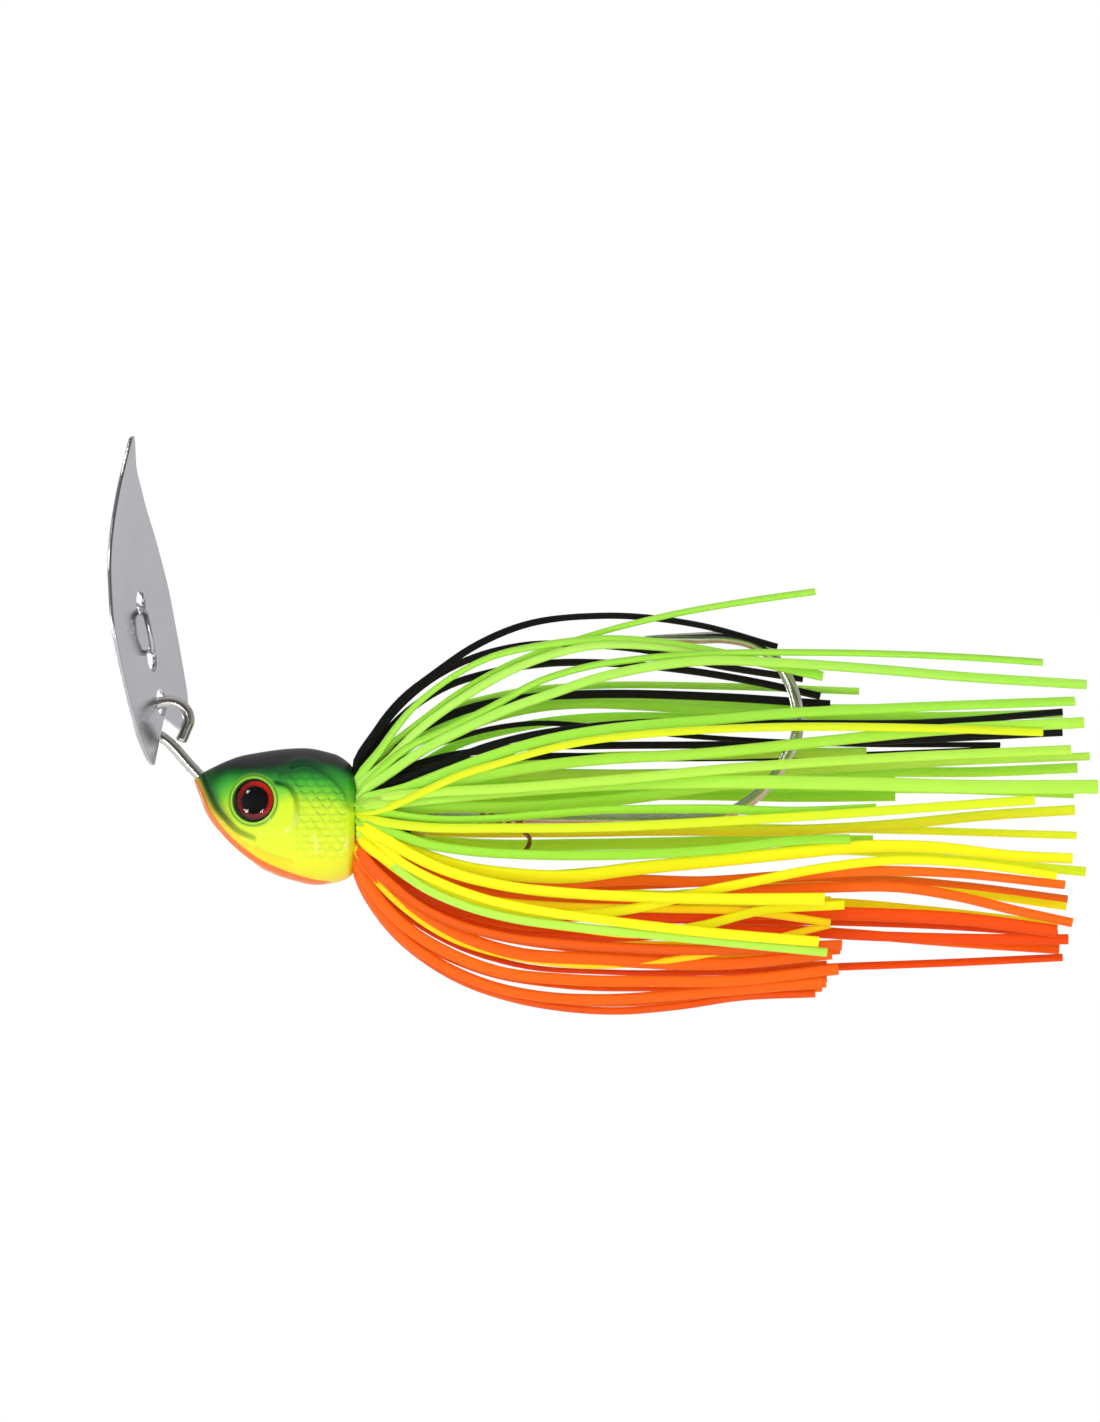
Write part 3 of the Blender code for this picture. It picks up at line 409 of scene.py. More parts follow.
        (-4.0, -3.5, 1.9, ((23.4, -15.4), (31.0, -20.4), (40.0, -22.8), (50.0, -23.6), (64.6, -23.6),
         (76.0, -23.4), (85.5, -23.6), (95.9, -24.1), (107.9, -25.6))),
        (-2.5, -2.0, 1.4, ((23.4, -16.0), (30.0, -22.0), (40.0, -25.6), (52.0, -26.4), (69.8, -25.5),
         (85.5, -26.2), (95.9, -26.5), (109.3, -26.6))),
    ),
    "long_red_orange_right": (
        (3.0, 2.5, 1.6, ((23.6, -15.8), (31.0, -21.0), (41.0, -23.4), (52.0, -24.0), (66.0, -24.2),
         (80.0, -24.4), (94.0, -24.9), (108.0, -25.9))),
        (2.0, 1.5, 1.3, ((23.4, -16.4), (27.0, -22.0), (33.0, -26.4), (42.0, -29.6), (54.0, -30.6),
         (66.0, -30.6), (80.0, -30.0), (95.9, -29.4), (108.6, -28.8))),
    ),
}
STRAND_STEPS = 56
STRAND_THICKNESS = 0.62
WIDTH_SHARE = 0.88
STRAND_ROUNDING = 0.2
STRAND_NECK = 0.78
STRAND_TURN = 0.7
SKIRT_FULLEST = 50.0
SKIRT_COLLAR = 5.6
SKIRT_ROOTS = ((1.6, 3.3), (-0.6, 3.45), (-1.9, 4.4))

# A strand on the right is spread away from this place and one on the left is drawn in towards it, by this
# much of its distance for each mm that it stands to the side
SKIRT_MIDDLE = (46.4, 1.1)
DRAW_IN = 1 / 1294


def srgb(red, green, blue):
    """A colour given as 0 to 255 for each part, in the linear values that shaders take."""
    return tuple(
        (value / 255 / 12.92) if value <= 10 else ((value / 255 + 0.055) / 1.055) ** 2.4
        for value in (red, green, blue)
    )


# The deeper and the paler tone of each silicone
SILICONE_COLOURS = {
    "black": (srgb(10, 10, 12), srgb(20, 20, 22)),
    "lime": (srgb(156, 224, 58), srgb(194, 240, 112)),
    "green": (srgb(150, 218, 50), srgb(196, 240, 92)),
    "chartreuse": (srgb(206, 236, 40), srgb(238, 244, 46)),
    "yellow": (srgb(236, 228, 16), srgb(254, 246, 30)),
    "amber": (srgb(246, 190, 14), srgb(255, 222, 24)),
    "orange": (srgb(232, 84, 10), srgb(250, 116, 22)),
    "red_orange": (srgb(228, 66, 6), srgb(244, 92, 12)),
}


# ---------------------------------------------------------------- what a user may change

def colour_property(name, description, default):
    return bpy.props.FloatVectorProperty(
        name=name, description=description, default=default, size=3, min=0.0, max=1.0, subtype="COLOR",
    )


def length_property(name, description, default):
    return bpy.props.FloatProperty(
        name=name, description=description, default=default * MM, min=0.0, subtype="DISTANCE", unit="LENGTH",
    )


class JigSizes(bpy.types.PropertyGroup):
    strand_thickness: length_property("Strand Thickness", "Thickness of the silicone sheet", STRAND_THICKNESS)
    hook_radius: length_property("Hook Wire Radius", "Half the thickness of the hook's wire", 0.72)
    snap_radius: length_property("Snap Wire Radius", "Half the thickness of the snap's wire", 0.375)
    blade_thickness: length_property("Blade Thickness", "Thickness of the steel blade", 0.52)
    scale_height: length_property("Scale Height", "How far the scales stand out of the cheek", 0.2)


class JigColours(bpy.types.PropertyGroup):
    back: colour_property("Back", "Paint along the top of the head", srgb(38, 34, 38))
    shoulder: colour_property("Shoulder", "Paint below the back", srgb(14, 92, 34))
    side: colour_property("Side", "Paint on the upper cheek", srgb(60, 170, 50))
    cheek: colour_property("Cheek", "Paint on the middle of the cheek", srgb(206, 236, 44))
    throat: colour_property("Throat", "Paint on the lower cheek", srgb(238, 236, 40))
    belly: colour_property("Belly", "Paint along the bottom of the head", srgb(242, 104, 6))
    iris: colour_property("Iris", "Foil ring round the pupil", srgb(196, 14, 6))
    steel: colour_property("Steel", "Polished stainless steel", (0.62, 0.62, 0.66))
    nickel: colour_property("Nickel", "Plating on the hook", (0.72, 0.7, 0.66))
    bronze: colour_property("Bronze", "Wire of the bait keeper", (0.42, 0.2, 0.07))


# ---------------------------------------------------------------- shader maths

class Value:
    """A socket of a material, so that shader maths is written as an expression."""

    def __init__(self, finish, socket):
        self.finish = finish
        self.socket = socket

    def maths(self, operation, first, second=0.0):
        node = self.finish.node("ShaderNodeMath", {"operation": operation}, {0: first, 1: second})
        return Value(self.finish, node.outputs[0])

    def __add__(self, other):
        return self.maths("ADD", self, other)

    __radd__ = __add__

    def __sub__(self, other):
        return self.maths("SUBTRACT", self, other)

    def __rsub__(self, other):
        return self.maths("SUBTRACT", other, self)

    def __mul__(self, other):
        return self.maths("MULTIPLY", self, other)

    __rmul__ = __mul__

    def __truediv__(self, other):
        return self.maths("DIVIDE", self, other)

    def __pow__(self, other):
        return self.maths("POWER", self, other)

    def between(self, low, high):
        """0 below low and 1 above high, with a soft step between."""
        node = self.finish.node(
            "ShaderNodeMapRange", {"interpolation_type": "SMOOTHSTEP"},
            {"Value": self, "From Min": low, "From Max": high},
        )
        return Value(self.finish, node.outputs["Result"])


class Finish:
    """A material, or the studio's surroundings, that is being made."""

    def __init__(self, name, surroundings=False):
        self.material = bpy.data.worlds.new(name) if surroundings else bpy.data.materials.new(name)
        self.material.use_nodes = True
        self.tree = self.material.node_tree
        self.tree.nodes.clear()
        output_kind = "ShaderNodeOutputWorld" if surroundings else "ShaderNodeOutputMaterial"
        self.output = self.tree.nodes.new(output_kind)

    def node(self, kind, settings=None, sockets=None):
        made = self.tree.nodes.new(kind)
        for name, setting in (settings or {}).items():
            if name == "stops":
                self.set_stops(made.color_ramp, setting)
            else:
                setattr(made, name, setting)
        for key, value in (sockets or {}).items():
            self.plug(made.inputs[key], value)
        return made

    def plug(self, socket, value):
        if isinstance(value, Value):
            self.tree.links.new(value.socket, socket)
        elif isinstance(value, bpy.types.NodeSocket):
            self.tree.links.new(value, socket)
        elif socket.type == "RGBA" and len(value) == 3:
            socket.default_value = (*value, 1.0)
        else:
            socket.default_value = value

    def set_stops(self, ramp, stops):
        while len(ramp.elements) < len(stops):
            ramp.elements.new(0.5)
        for element, (position, colour) in zip(ramp.elements, stops):
            element.position = position
            element.color = (*colour, 1.0)

    def value(self, node, output=0):
        return Value(self, node.outputs[output])

    def place(self):
        return self.value(self.node("ShaderNodeTexCoord"), "Object")

    def vector(self, operation, first, second):
        return self.node("ShaderNodeVectorMath", {"operation": operation}, {0: first, 1: second})

    def along(self, place, direction):
        """How far a place is along a direction, in millimetres."""
        return self.value(self.vector("DOT_PRODUCT", place, tuple(Vector(direction) / MM)), "Value")

    def join(self, x, y, z):
        return self.value(self.node("ShaderNodeCombineXYZ", None, {"X": x, "Y": y, "Z": z}))

    def noise(self, place, size, detail=2.0, roughness=0.5):
        """Noise from 0 to 1 whose features are about size millimetres across, on a place in metres."""
        settings = {"Vector": place, "Scale": 1 / (size * MM), "Detail": detail, "Roughness": roughness}
        return self.value(self.node("ShaderNodeTexNoise", None, settings), "Fac")

    def mix(self, factor, first, second, blend="MIX"):
        node = self.node(
            "ShaderNodeMix", {"data_type": "RGBA", "blend_type": blend}, {0: factor, 6: first, 7: second},
        )
        return self.value(node, 2)

    def ramp(self, factor, stops):
        return self.value(self.node("ShaderNodeValToRGB", {"stops": stops}, {"Fac": factor}), "Color")

    def mask(self, name):
        return self.value(self.node("ShaderNodeAttribute", {"attribute_name": name}), "Fac")

    def bump(self, height, depth):
        """A Normal for a height from 0 to 1 that is depth millimetres tall."""
        node = self.node("ShaderNodeBump", None, {"Height": height, "Distance": depth * MM})
        return self.value(node, "Normal")

    def surface(self, **sockets):
        return self.show(self.node("ShaderNodeBsdfPrincipled", None, {
            name.replace("_", " ").title().replace("Ior", "IOR"): value for name, value in sockets.items()
        }))

    def show(self, shader):
        self.tree.links.new(shader.outputs[0], self.output.inputs["Surface"])
        return self.material


# ---------------------------------------------------------------- shapes

def hermite(a, b, slope_a, slope_b, span, share):
    """A smooth curve from a to b that leaves and arrives with the given slopes."""
    s2 = share * share
    s3 = s2 * share
    return (
        a * (2 * s3 - 3 * s2 + 1) + slope_a * (span * (s3 - 2 * s2 + share))
        + b * (3 * s2 - 2 * s3) + slope_b * (span * (s3 - s2))
    )


def read_outline(outline, x):
    """Heights of a smooth outline of (x, height) points, at one x or an array of them."""
    known = np.array(outline, float)
    steps = np.diff(known[:, 1]) / np.diff(known[:, 0])
    before = np.concatenate(([steps[0]], steps))
    after = np.concatenate((steps, [steps[-1]]))
    same_way = before * after > 0
    total = np.where(same_way, before + after, 1.0)
    slopes = np.where(same_way, 2 * before * after / total, 0.0)
    x = np.clip(x, known[0, 0], known[-1, 0])
    index = np.clip(np.searchsorted(known[:, 0], x, side="right") - 1, 0, len(known) - 2)
    span = known[index + 1, 0] - known[index, 0]
    share = (x - known[index, 0]) / span
    return hermite(known[index, 1], known[index + 1, 1], slopes[index], slopes[index + 1], span, share)


def smooth_path(points, spacing):
    """Evenly spaced points along a smooth curve through the given ones."""
    points = np.array(points, float)
    lengths = np.linalg.norm(np.diff(points, axis=0), axis=1)
    steps = np.diff(points, axis=0) / lengths[:, None]
    before, after = lengths[:-1, None], lengths[1:, None]
    inner = (steps[:-1] * after + steps[1:] * before) / (before + after)
    slopes = np.vstack((steps[:1], inner, steps[-1:]))
    fine = [points[:1]]
    for i, length in enumerate(lengths):
        share = (np.arange(1, 25) / 24)[:, None]
        fine.append(hermite(points[i], points[i + 1], slopes[i], slopes[i + 1], length, share))
    fine = np.vstack(fine)
    travelled = np.concatenate(([0.0], np.cumsum(np.linalg.norm(np.diff(fine, axis=0), axis=1))))
    count = max(2, int(round(travelled[-1] / spacing)) + 1)
    wanted = np.linspace(0.0, travelled[-1], count)
    return np.column_stack([np.interp(wanted, travelled, fine[:, axis]) for axis in range(points.shape[1])])


def flat_path(places):
    """Places (x, z) on the jig's middle plane."""
    return [(x, 0.0, z) for x, z in places]


def unit(vectors):
    """The same directions with a length of 1."""
    return vectors / np.maximum(np.linalg.norm(vectors, axis=-1, keepdims=True), 1e-9)


def tube_faces(rings, sides):
    """Faces of a closed tube whose points are given ring by ring."""
    faces = []
    for ring in range(0, (rings - 1) * sides, sides):
        for side in range(sides):
            after = (side + 1) % sides
            faces.append((ring + side, ring + sides + side, ring + sides + after, ring + after))
    last = (rings - 1) * sides
    faces.append(tuple(range(sides)))
    faces.append(tuple(reversed(range(last, last + sides))))
    return faces


def sweep(path, section, hints, sizes=None):
    """Vertices and faces of a section (across, up) carried along a path, its up side turned to the hints."""
    path = np.array(path, float)
    tangents = unit(np.gradient(path, axis=0))
    hints = np.broadcast_to(np.array(hints, float), path.shape)
    up = unit(hints - (hints * tangents).sum(1)[:, None] * tangents)
    across = np.cross(tangents, up)
    section = np.array(section, float)
    sizes = np.ones(len(path)) if sizes is None else np.array(sizes, float)
    verts = (
        path[:, None, :]
        + across[:, None, :] * section[None, :, :1] * sizes[:, None, None]
        + up[:, None, :] * section[None, :, 1:] * sizes[:, None, None]
    ).reshape(-1, 3)
    return verts, tube_faces(len(path), len(section))


def round_section(radius, sides):
    """A round wire's section."""
    turns = np.arange(sides) * 2 * math.pi / sides
    return np.column_stack((radius * np.cos(turns), radius * np.sin(turns)))


def mesh_object(name, verts, faces, sharp=60.0):
    """A shaded object from points in millimetres, its faces turned outwards."""
    mesh = bpy.data.meshes.new(name)
    mesh.from_pydata((np.array(verts, float) * MM).tolist(), [], faces)
    shape = bmesh.new()
    shape.from_mesh(mesh)
    bmesh.ops.recalc_face_normals(shape, faces=shape.faces)
    shape.to_mesh(mesh)
    shape.free()
    obj = bpy.data.objects.new(name, mesh)
    bpy.context.scene.collection.objects.link(obj)
    smooth(obj, sharp)
    return obj


def smooth(obj, sharp):
    """Shades an object smooth, apart from edges that turn by more than sharp degrees."""
    obj.data.shade_smooth()
    obj.data.set_sharp_from_angle(angle=math.radians(sharp))


def lathe(profile, sides, start, axis=(1.0, 0.0, 0.0)):
    """Vertices and faces of an open or closed profile of (along, radius) turned about an axis."""
    axis = Vector(axis).normalized()
    side = axis.orthogonal().normalized()
    other = axis.cross(side)
    verts, faces, rows = [], [], []
    for along, radius in profile:
        middle = Vector(start) + axis * along
        if radius <= 0:
            rows.append([len(verts)])
            verts.append(tuple(middle))
            continue
        row = []
        for index in range(sides):
            turn = 2 * math.pi * index / sides
            row.append(len(verts))
            verts.append(tuple(middle + side * (radius * math.cos(turn)) + other * (radius * math.sin(turn))))
        rows.append(row)
    pairs = list(zip(rows, rows[1:]))
    if profile[0][1] > 0 and profile[-1][1] > 0:
        pairs.append((rows[-1], rows[0]))
    for row, following in pairs:
        for index in range(sides):
            after = (index + 1) % sides
            corners = [row[index % len(row)], following[index % len(following)]]
            if len(following) > 1:
                corners.append(following[after])
            if len(row) > 1:
                corners.append(row[after])
            faces.append(tuple(corners))
    return verts, faces


def apply_modifiers(obj):
    """Turns what an object's modifiers make into its own mesh."""
    bpy.context.view_layer.update()
    evaluated = obj.evaluated_get(bpy.context.evaluated_depsgraph_get())
    mesh = bpy.data.meshes.new_from_object(evaluated)
    old = obj.data
    obj.modifiers.clear()
    obj.data = mesh
    bpy.data.meshes.remove(old)


def combine(obj, tool, operation):
    """Cuts or joins with another closed piece, which is then removed."""
    modifier = obj.modifiers.new("cut", "BOOLEAN")
    modifier.operation = operation
    modifier.solver = "MANIFOLD"
    modifier.object = tool
    apply_modifiers(obj)
    bpy.data.objects.remove(tool, do_unlink=True)


def put(obj, body, material, node):
    """Gives a finished piece its material and its body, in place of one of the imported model's nodes."""
    obj.data.materials.clear()
    obj.data.materials.append(material)
    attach(obj, body)
    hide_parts(node)


def set_mask(mesh, name, values):
    """Writes one number for each point, for a finish to read with mask."""
    attribute = mesh.attributes.new(name, "FLOAT", "POINT")
    attribute.data.foreach_set("value", np.asarray(values, np.float32))


def soft_step(values, low, high):
    """0 below low and 1 above high, with a soft step between."""
    share = np.clip((values - low) / (high - low), 0.0, 1.0)
    return share * share * (3 - 2 * share)


def stroke(away, width):
    """1 on a line, and fading out about a width to each side of it."""
    return np.exp(-(away / width) ** 2)


def from_line(x, z, line):
    """Distance from each place to a smooth line of (x, z) points, and the share of its length there."""
    line = smooth_path(np.array(line, float), 0.1)
    distance = np.full(x.shape, 1e9)
    share = np.zeros(x.shape)
    for index in range(len(line) - 1):
        start, step = line[index], line[index + 1] - line[index]
        along = np.clip(((x - start[0]) * step[0] + (z - start[1]) * step[1]) / (step @ step), 0.0, 1.0)
        here = np.hypot(x - start[0] - along * step[0], z - start[1] - along * step[1])
        nearer = here < distance
        distance = np.where(nearer, here, distance)
        share = np.where(nearer, (index + along) / (len(line) - 1), share)
    return distance, share


# ---------------------------------------------------------------- hook

def nickel_finish():
    """Nickel plating with dull clouds and small pits."""
    finish = Finish("hook_nickel")
    place = finish.place()
    colours = bpy.context.scene.jig_colours
    clouds = finish.noise(place, 2.4, 4.0)
    grains = finish.noise(place, 0.12, 2.0)
    pits = finish.noise(place, 0.35, 3.0, 0.7).between(0.62, 0.72)
    dull = finish.mix(clouds.between(0.4, 0.75) * 0.3, tuple(colours.nickel), srgb(150, 142, 130))
    colour = finish.mix(pits * 0.25, dull, srgb(110, 104, 96))
    return finish.surface(
        base_color=colour, metallic=1.0, roughness=0.16 + 0.12 * clouds + 0.1 * pits,
        normal=finish.bump(grains + clouds, 0.012),
    )


def hook_wire_route():
    """The wire from the end of the eye, round it, along arm and shank and round the bend to the point."""
    eye = [
        (EYE_HALF_LENGTH * math.cos(turn), EYE_HALF_HEIGHT * math.sin(turn))
        for turn in np.radians(np.arange(0, 181, 20))
    ]
    flat = [*EYE_END, *eye, *EYE_TO_ARM, *ARM_TO_SHANK, *SHANK, *HOOK_BEND]
    return smooth_path(flat_path(flat), 0.22)


class JIG_OT_hook(bpy.types.Operator):
    """Makes the hook: eye, arm, shank, round bend, point and barb"""
    bl_idname = "jig.hook"
    bl_label = "Hook"

    def execute(self, context):
        radius = context.scene.jig_sizes.hook_radius / MM
        path = hook_wire_route()
        tip = path[-1, 0]
        on_point = (path[:, 2] > 0) & (path[:, 0] < POINT_TAPER_START) & (path[:, 0] > tip - 1)
        to_tip = np.clip((path[:, 0] - tip) / (POINT_TAPER_START - tip), 0.0, 1.0)
        sizes = np.where(on_point, POINT_TIP_SHARE + (1 - POINT_TIP_SHARE) * np.sqrt(to_tip), 1.0)
        sizes[0] = 0.8
        verts, faces = sweep(path, round_section(radius, 24), (0.0, 1.0, 0.0), sizes)
        hook = mesh_object("hook_wire", verts, faces)
        barb_path = smooth_path(flat_path(BARB), 0.12)
        barb_sizes = np.linspace(1.0, BARB_TIP_SHARE, len(barb_path))
        verts, faces = sweep(barb_path, round_section(BARB_RADIUS, 20), (0.0, 1.0, 0.0), barb_sizes)
        combine(hook, mesh_object("barb", verts, faces), "UNION")
        smooth(hook, 60.0)
        put(hook, MODEL, nickel_finish(), "hook")
        return {"FINISHED"}


# ---------------------------------------------------------------- head and eyes

def fuller(values):
    """Sines or cosines that make the head's section a little squarer or rounder than an oval."""
    return np.copysign(np.abs(values) ** HEAD_SQUARENESS, values)


def head_point(x, turn):
    """Places on the plain head at x and a turn round its section, as arrays of y and z."""
    top = read_outline(HEAD_TOP, x)
    bottom = read_outline(HEAD_BOTTOM, x)
    middle = bottom + HEAD_WIDEST_LEVEL * (top - bottom)
    reach = np.where(np.sin(turn) > 0, top - middle, middle - bottom)
    y = read_outline(HEAD_HALF_WIDTH, x) * fuller(np.cos(turn))
    return y, middle + reach * fuller(np.sin(turn))


def head_cheek(x, z):
    """The point of the left cheek at x and height z."""
    top = float(read_outline(HEAD_TOP, x))
    bottom = float(read_outline(HEAD_BOTTOM, x))
    middle = bottom + HEAD_WIDEST_LEVEL * (top - bottom)
    reach = top - middle if z > middle else middle - bottom
    level = min(abs(z - middle) / reach, 1.0) ** (1 / HEAD_SQUARENESS)
    y = -float(read_outline(HEAD_HALF_WIDTH, x)) * math.sqrt(1 - level * level) ** HEAD_SQUARENESS
    return Vector((x, y, z))


def eye_seat(side):
    """Centre of an eye on the cheek, and the direction that it faces."""
    x, z = EYE_CENTRE
    centre = head_cheek(x, z)
    along = head_cheek(x + 1, z) - head_cheek(x - 1, z)
    upward = head_cheek(x, z + 1) - head_cheek(x, z - 1)
    outward = along.cross(upward).normalized()
    if side == "right":
        centre = Vector((centre.x, -centre.y, centre.z))
        outward = Vector((outward.x, -outward.y, outward.z))
    return centre, outward


def from_eye(places):
    """Distance of places on either cheek from the eye's axis, and their height over its plane."""
    centre, outward = (np.array(v) for v in eye_seat("left"))
    mirrored = places.copy()
    mirrored[..., 1] = -np.abs(mirrored[..., 1])
    offset = mirrored - centre
    height = offset @ outward
    return np.linalg.norm(offset - height[..., None] * outward, axis=-1), height


def scatter(row, column):
    """A number from 0 to 1 that differs from scale to scale."""
    return np.mod(np.sin(row * 12.9898 + column * 78.233) * 43758.5453, 1.0)


def scale_pattern(x, z):
    """The height of a scale from 0 to 1, and how much painted shade shows along its lower edge."""
    row = np.floor((z - SCALE_BASE) / SCALE_ROW)
    best = np.zeros(x.shape)
    edge = np.zeros(x.shape)
    for shift in (-1, 0, 1):
        level = row + shift
        centre_z = (level + 0.5) * SCALE_ROW + SCALE_BASE
        offset = (np.mod(level, 2) * 0.5) * SCALE_LENGTH
        centre_x = (np.floor((x - offset) / SCALE_LENGTH) + 0.5) * SCALE_LENGTH + offset
        across = (x - centre_x) / (0.52 * SCALE_LENGTH)
        upward = (z - centre_z) / (0.62 * SCALE_ROW)
        distance = np.hypot(across, upward)
        height = np.clip(1 - distance ** 2.2, 0.0, 1.0)
        best = np.maximum(best, height)
        # Painted shade: a dark crescent along the lower edge of each scale, where the scale above overhangs
        below = stroke(distance - 0.86, 0.2) * soft_step(-upward - 0.35 * across, 0.05, 0.6)
        edge = np.maximum(edge, below * (0.4 + 0.6 * scatter(level, np.round(centre_x / SCALE_LENGTH * 2))))
    return best, edge


def scale_field(x, z):
    """Where the cheek carries scales, from 0 to 1."""
    gill, _ = from_line(x, z, GILL_LINE)
    cover, _ = from_line(x, z, COVER_LINE)
    gill_x = np.interp(-z, [-p[1] for p in GILL_LINE] + [17.0], [p[0] for p in GILL_LINE] + [15.6])
    cover_z = np.interp(x, [p[0] for p in COVER_LINE], [p[1] for p in COVER_LINE])
    inside = soft_step(x - gill_x, -0.1, 0.5) * soft_step(cover_z - z, 0.1, 0.7)
    inside *= soft_step(-x, -22.0, -21.4) * soft_step(z, -17.2, -15.5)
    return inside * soft_step(np.minimum(gill, cover), 0.05, 0.35)


def relief(x, z, scale_height):
    """How far the cheek stands out of its plain shape, in millimetres."""
    height = np.zeros(x.shape)
    for line, strokes in CHEEK_STROKES:
        away, share = from_line(x, z, line)
        for beside, width, rise, loss in strokes:
            height += rise * stroke(away - beside, width) * (1 - loss * share)
    scales, _ = scale_pattern(x, z)
    return height + scale_height * scales * scale_field(x, z)


def head_mesh(scale_height):
    """The casting as rings from nose to rear face, with its cast lines, scales and eye rims."""
    start, end = HEAD_TOP[0][0], HEAD_TOP[-1][0]
    share = 0.5 - 0.5 * np.cos(math.pi * np.arange(HEAD_STATIONS + 1) / HEAD_STATIONS)
    share = 0.25 * share + 0.75 * np.arange(HEAD_STATIONS + 1) / HEAD_STATIONS
    x = (start + (end - start) * share)[:, None] * np.ones((1, HEAD_SIDES))
    turn = (2 * math.pi * np.arange(HEAD_SIDES) / HEAD_SIDES)[None, :] * np.ones_like(x)
    y, z = head_point(x, turn)
    places = np.stack((x, y, z), axis=-1)
    along = np.gradient(places, axis=0)
    around = np.roll(places, -1, axis=1) - np.roll(places, 1, axis=1)
    outward = unit(np.cross(around, along))
    outward *= np.sign((outward * (places - places.mean(axis=1, keepdims=True))).sum(-1))[..., None]
    sideways = soft_step(np.abs(outward[..., 1]), 0.15, 0.5)
    ends = soft_step(x, start + 0.2, start + 1.0) * soft_step(-x, -end + 0.1, -end + 0.8)
    places = places + outward * (relief(x, z, scale_height) * sideways * ends)[..., None]
    distance, height = from_eye(places)
    collar = soft_step(distance, 2.2, 2.75) * soft_step(-distance, -3.7, -3.0)
    near = np.abs(height) < EYE_REACH
    _, eye_outward = eye_seat("left")
    mirror = np.stack((np.ones_like(x), np.where(places[..., 1] < 0, 1.0, -1.0), np.ones_like(x)), axis=-1)
    direction = np.array(eye_outward) * mirror
    rim_height = -0.08 - 0.35 * soft_step(distance, 3.0, 3.7)
    lift = np.clip(rim_height - height, 0.0, 2.0) * collar * near
    places = places + direction * lift[..., None]
    groove = stroke(distance - 3.05, 0.14) * near
    places = places - direction * (0.12 * groove)[..., None]
    return places.reshape(-1, 3), tube_faces(HEAD_STATIONS + 1, HEAD_SIDES)


def head_masks(mesh):
    """Writes where each paint goes on the head's points, and where painted shade and painted highlights go."""
    places = np.zeros(len(mesh.vertices) * 3, np.float32)
    mesh.vertices.foreach_get("co", places)
    places = places.reshape(-1, 3).astype(float) / MM
    x, z = places[:, 0], places[:, 2]
    set_mask(mesh, "under_back", (read_outline(BACK_EDGE, x) - z) / CHEEK_HEIGHT)
    belly, _ = from_line(x, z, HEAD_BOTTOM)
    width = np.interp(x, *zip(*BELLY_PAINT))
    underneath = z < read_outline(HEAD_BOTTOM, x) + 3.0
    set_mask(mesh, "belly", soft_step(-belly / width, -1.25, -0.8) * underneath * soft_step(-x, -21.5, -18.0))
    set_mask(mesh, "lip", soft_step(-belly / width, -2.2, -1.5) * underneath)
    mouth, share = from_line(x, z, MOUTH_LINE)
    set_mask(mesh, "mouth", stroke(mouth, np.interp(share, *zip(*MOUTH_PAINT))) * (1 - 0.45 * share ** 2))
    set_mask(mesh, "snout", stroke(mouth, 1.5) * soft_step(-x, -8.8, -5.2))
    gill, gill_share = from_line(x, z, GILL_LINE)
    cover, cover_share = from_line(x, z, COVER_LINE)
    # Painted shade: dark green along the gill and cover grooves, widest along the cover line
    lines = stroke(gill, 0.34) * (1 - gill_share) ** 1.1
    lines = np.maximum(lines, stroke(cover, 0.6) * (1 - 0.7 * cover_share))
    set_mask(mesh, "lines", lines)
    distance, height = from_eye(places)
    near = np.abs(height) < EYE_REACH
    # Painted highlight: a lighter lime band on the eye's raised rim
    set_mask(mesh, "eye_ring", soft_step(-distance, -3.5, -2.95) * near)
    # Painted shade: a thin dark line in the groove round the eye's rim
    set_mask(mesh, "eye_line", stroke(distance - 3.04, 0.12) * near)
    # Painted shade: darker olive inside the eye's socket, round the foil and dome
    set_mask(mesh, "socket", soft_step(-distance, -2.72, -2.6) * near)
    # Painted shade under the scales' lower edges
    _, edge = scale_pattern(x, z)
    field = scale_field(x, z)
    set_mask(mesh, "scale_edge", edge * field)
    set_mask(mesh, "scale_field", field)
    throat, _ = from_line(x, z, THROAT_LINE)
    set_mask(mesh, "throat_line", stroke(throat, 0.3))
    # Painted highlights: pale streaks along the cheek's folds, brightest in their middle
    streaks = [from_line(x, z, line) for line in PAINTED_HIGHLIGHT_LINES]
    gleam = sum(stroke(away, 0.24) * np.sin(math.pi * share) for away, share in streaks)
    set_mask(mesh, "gleam", gleam)


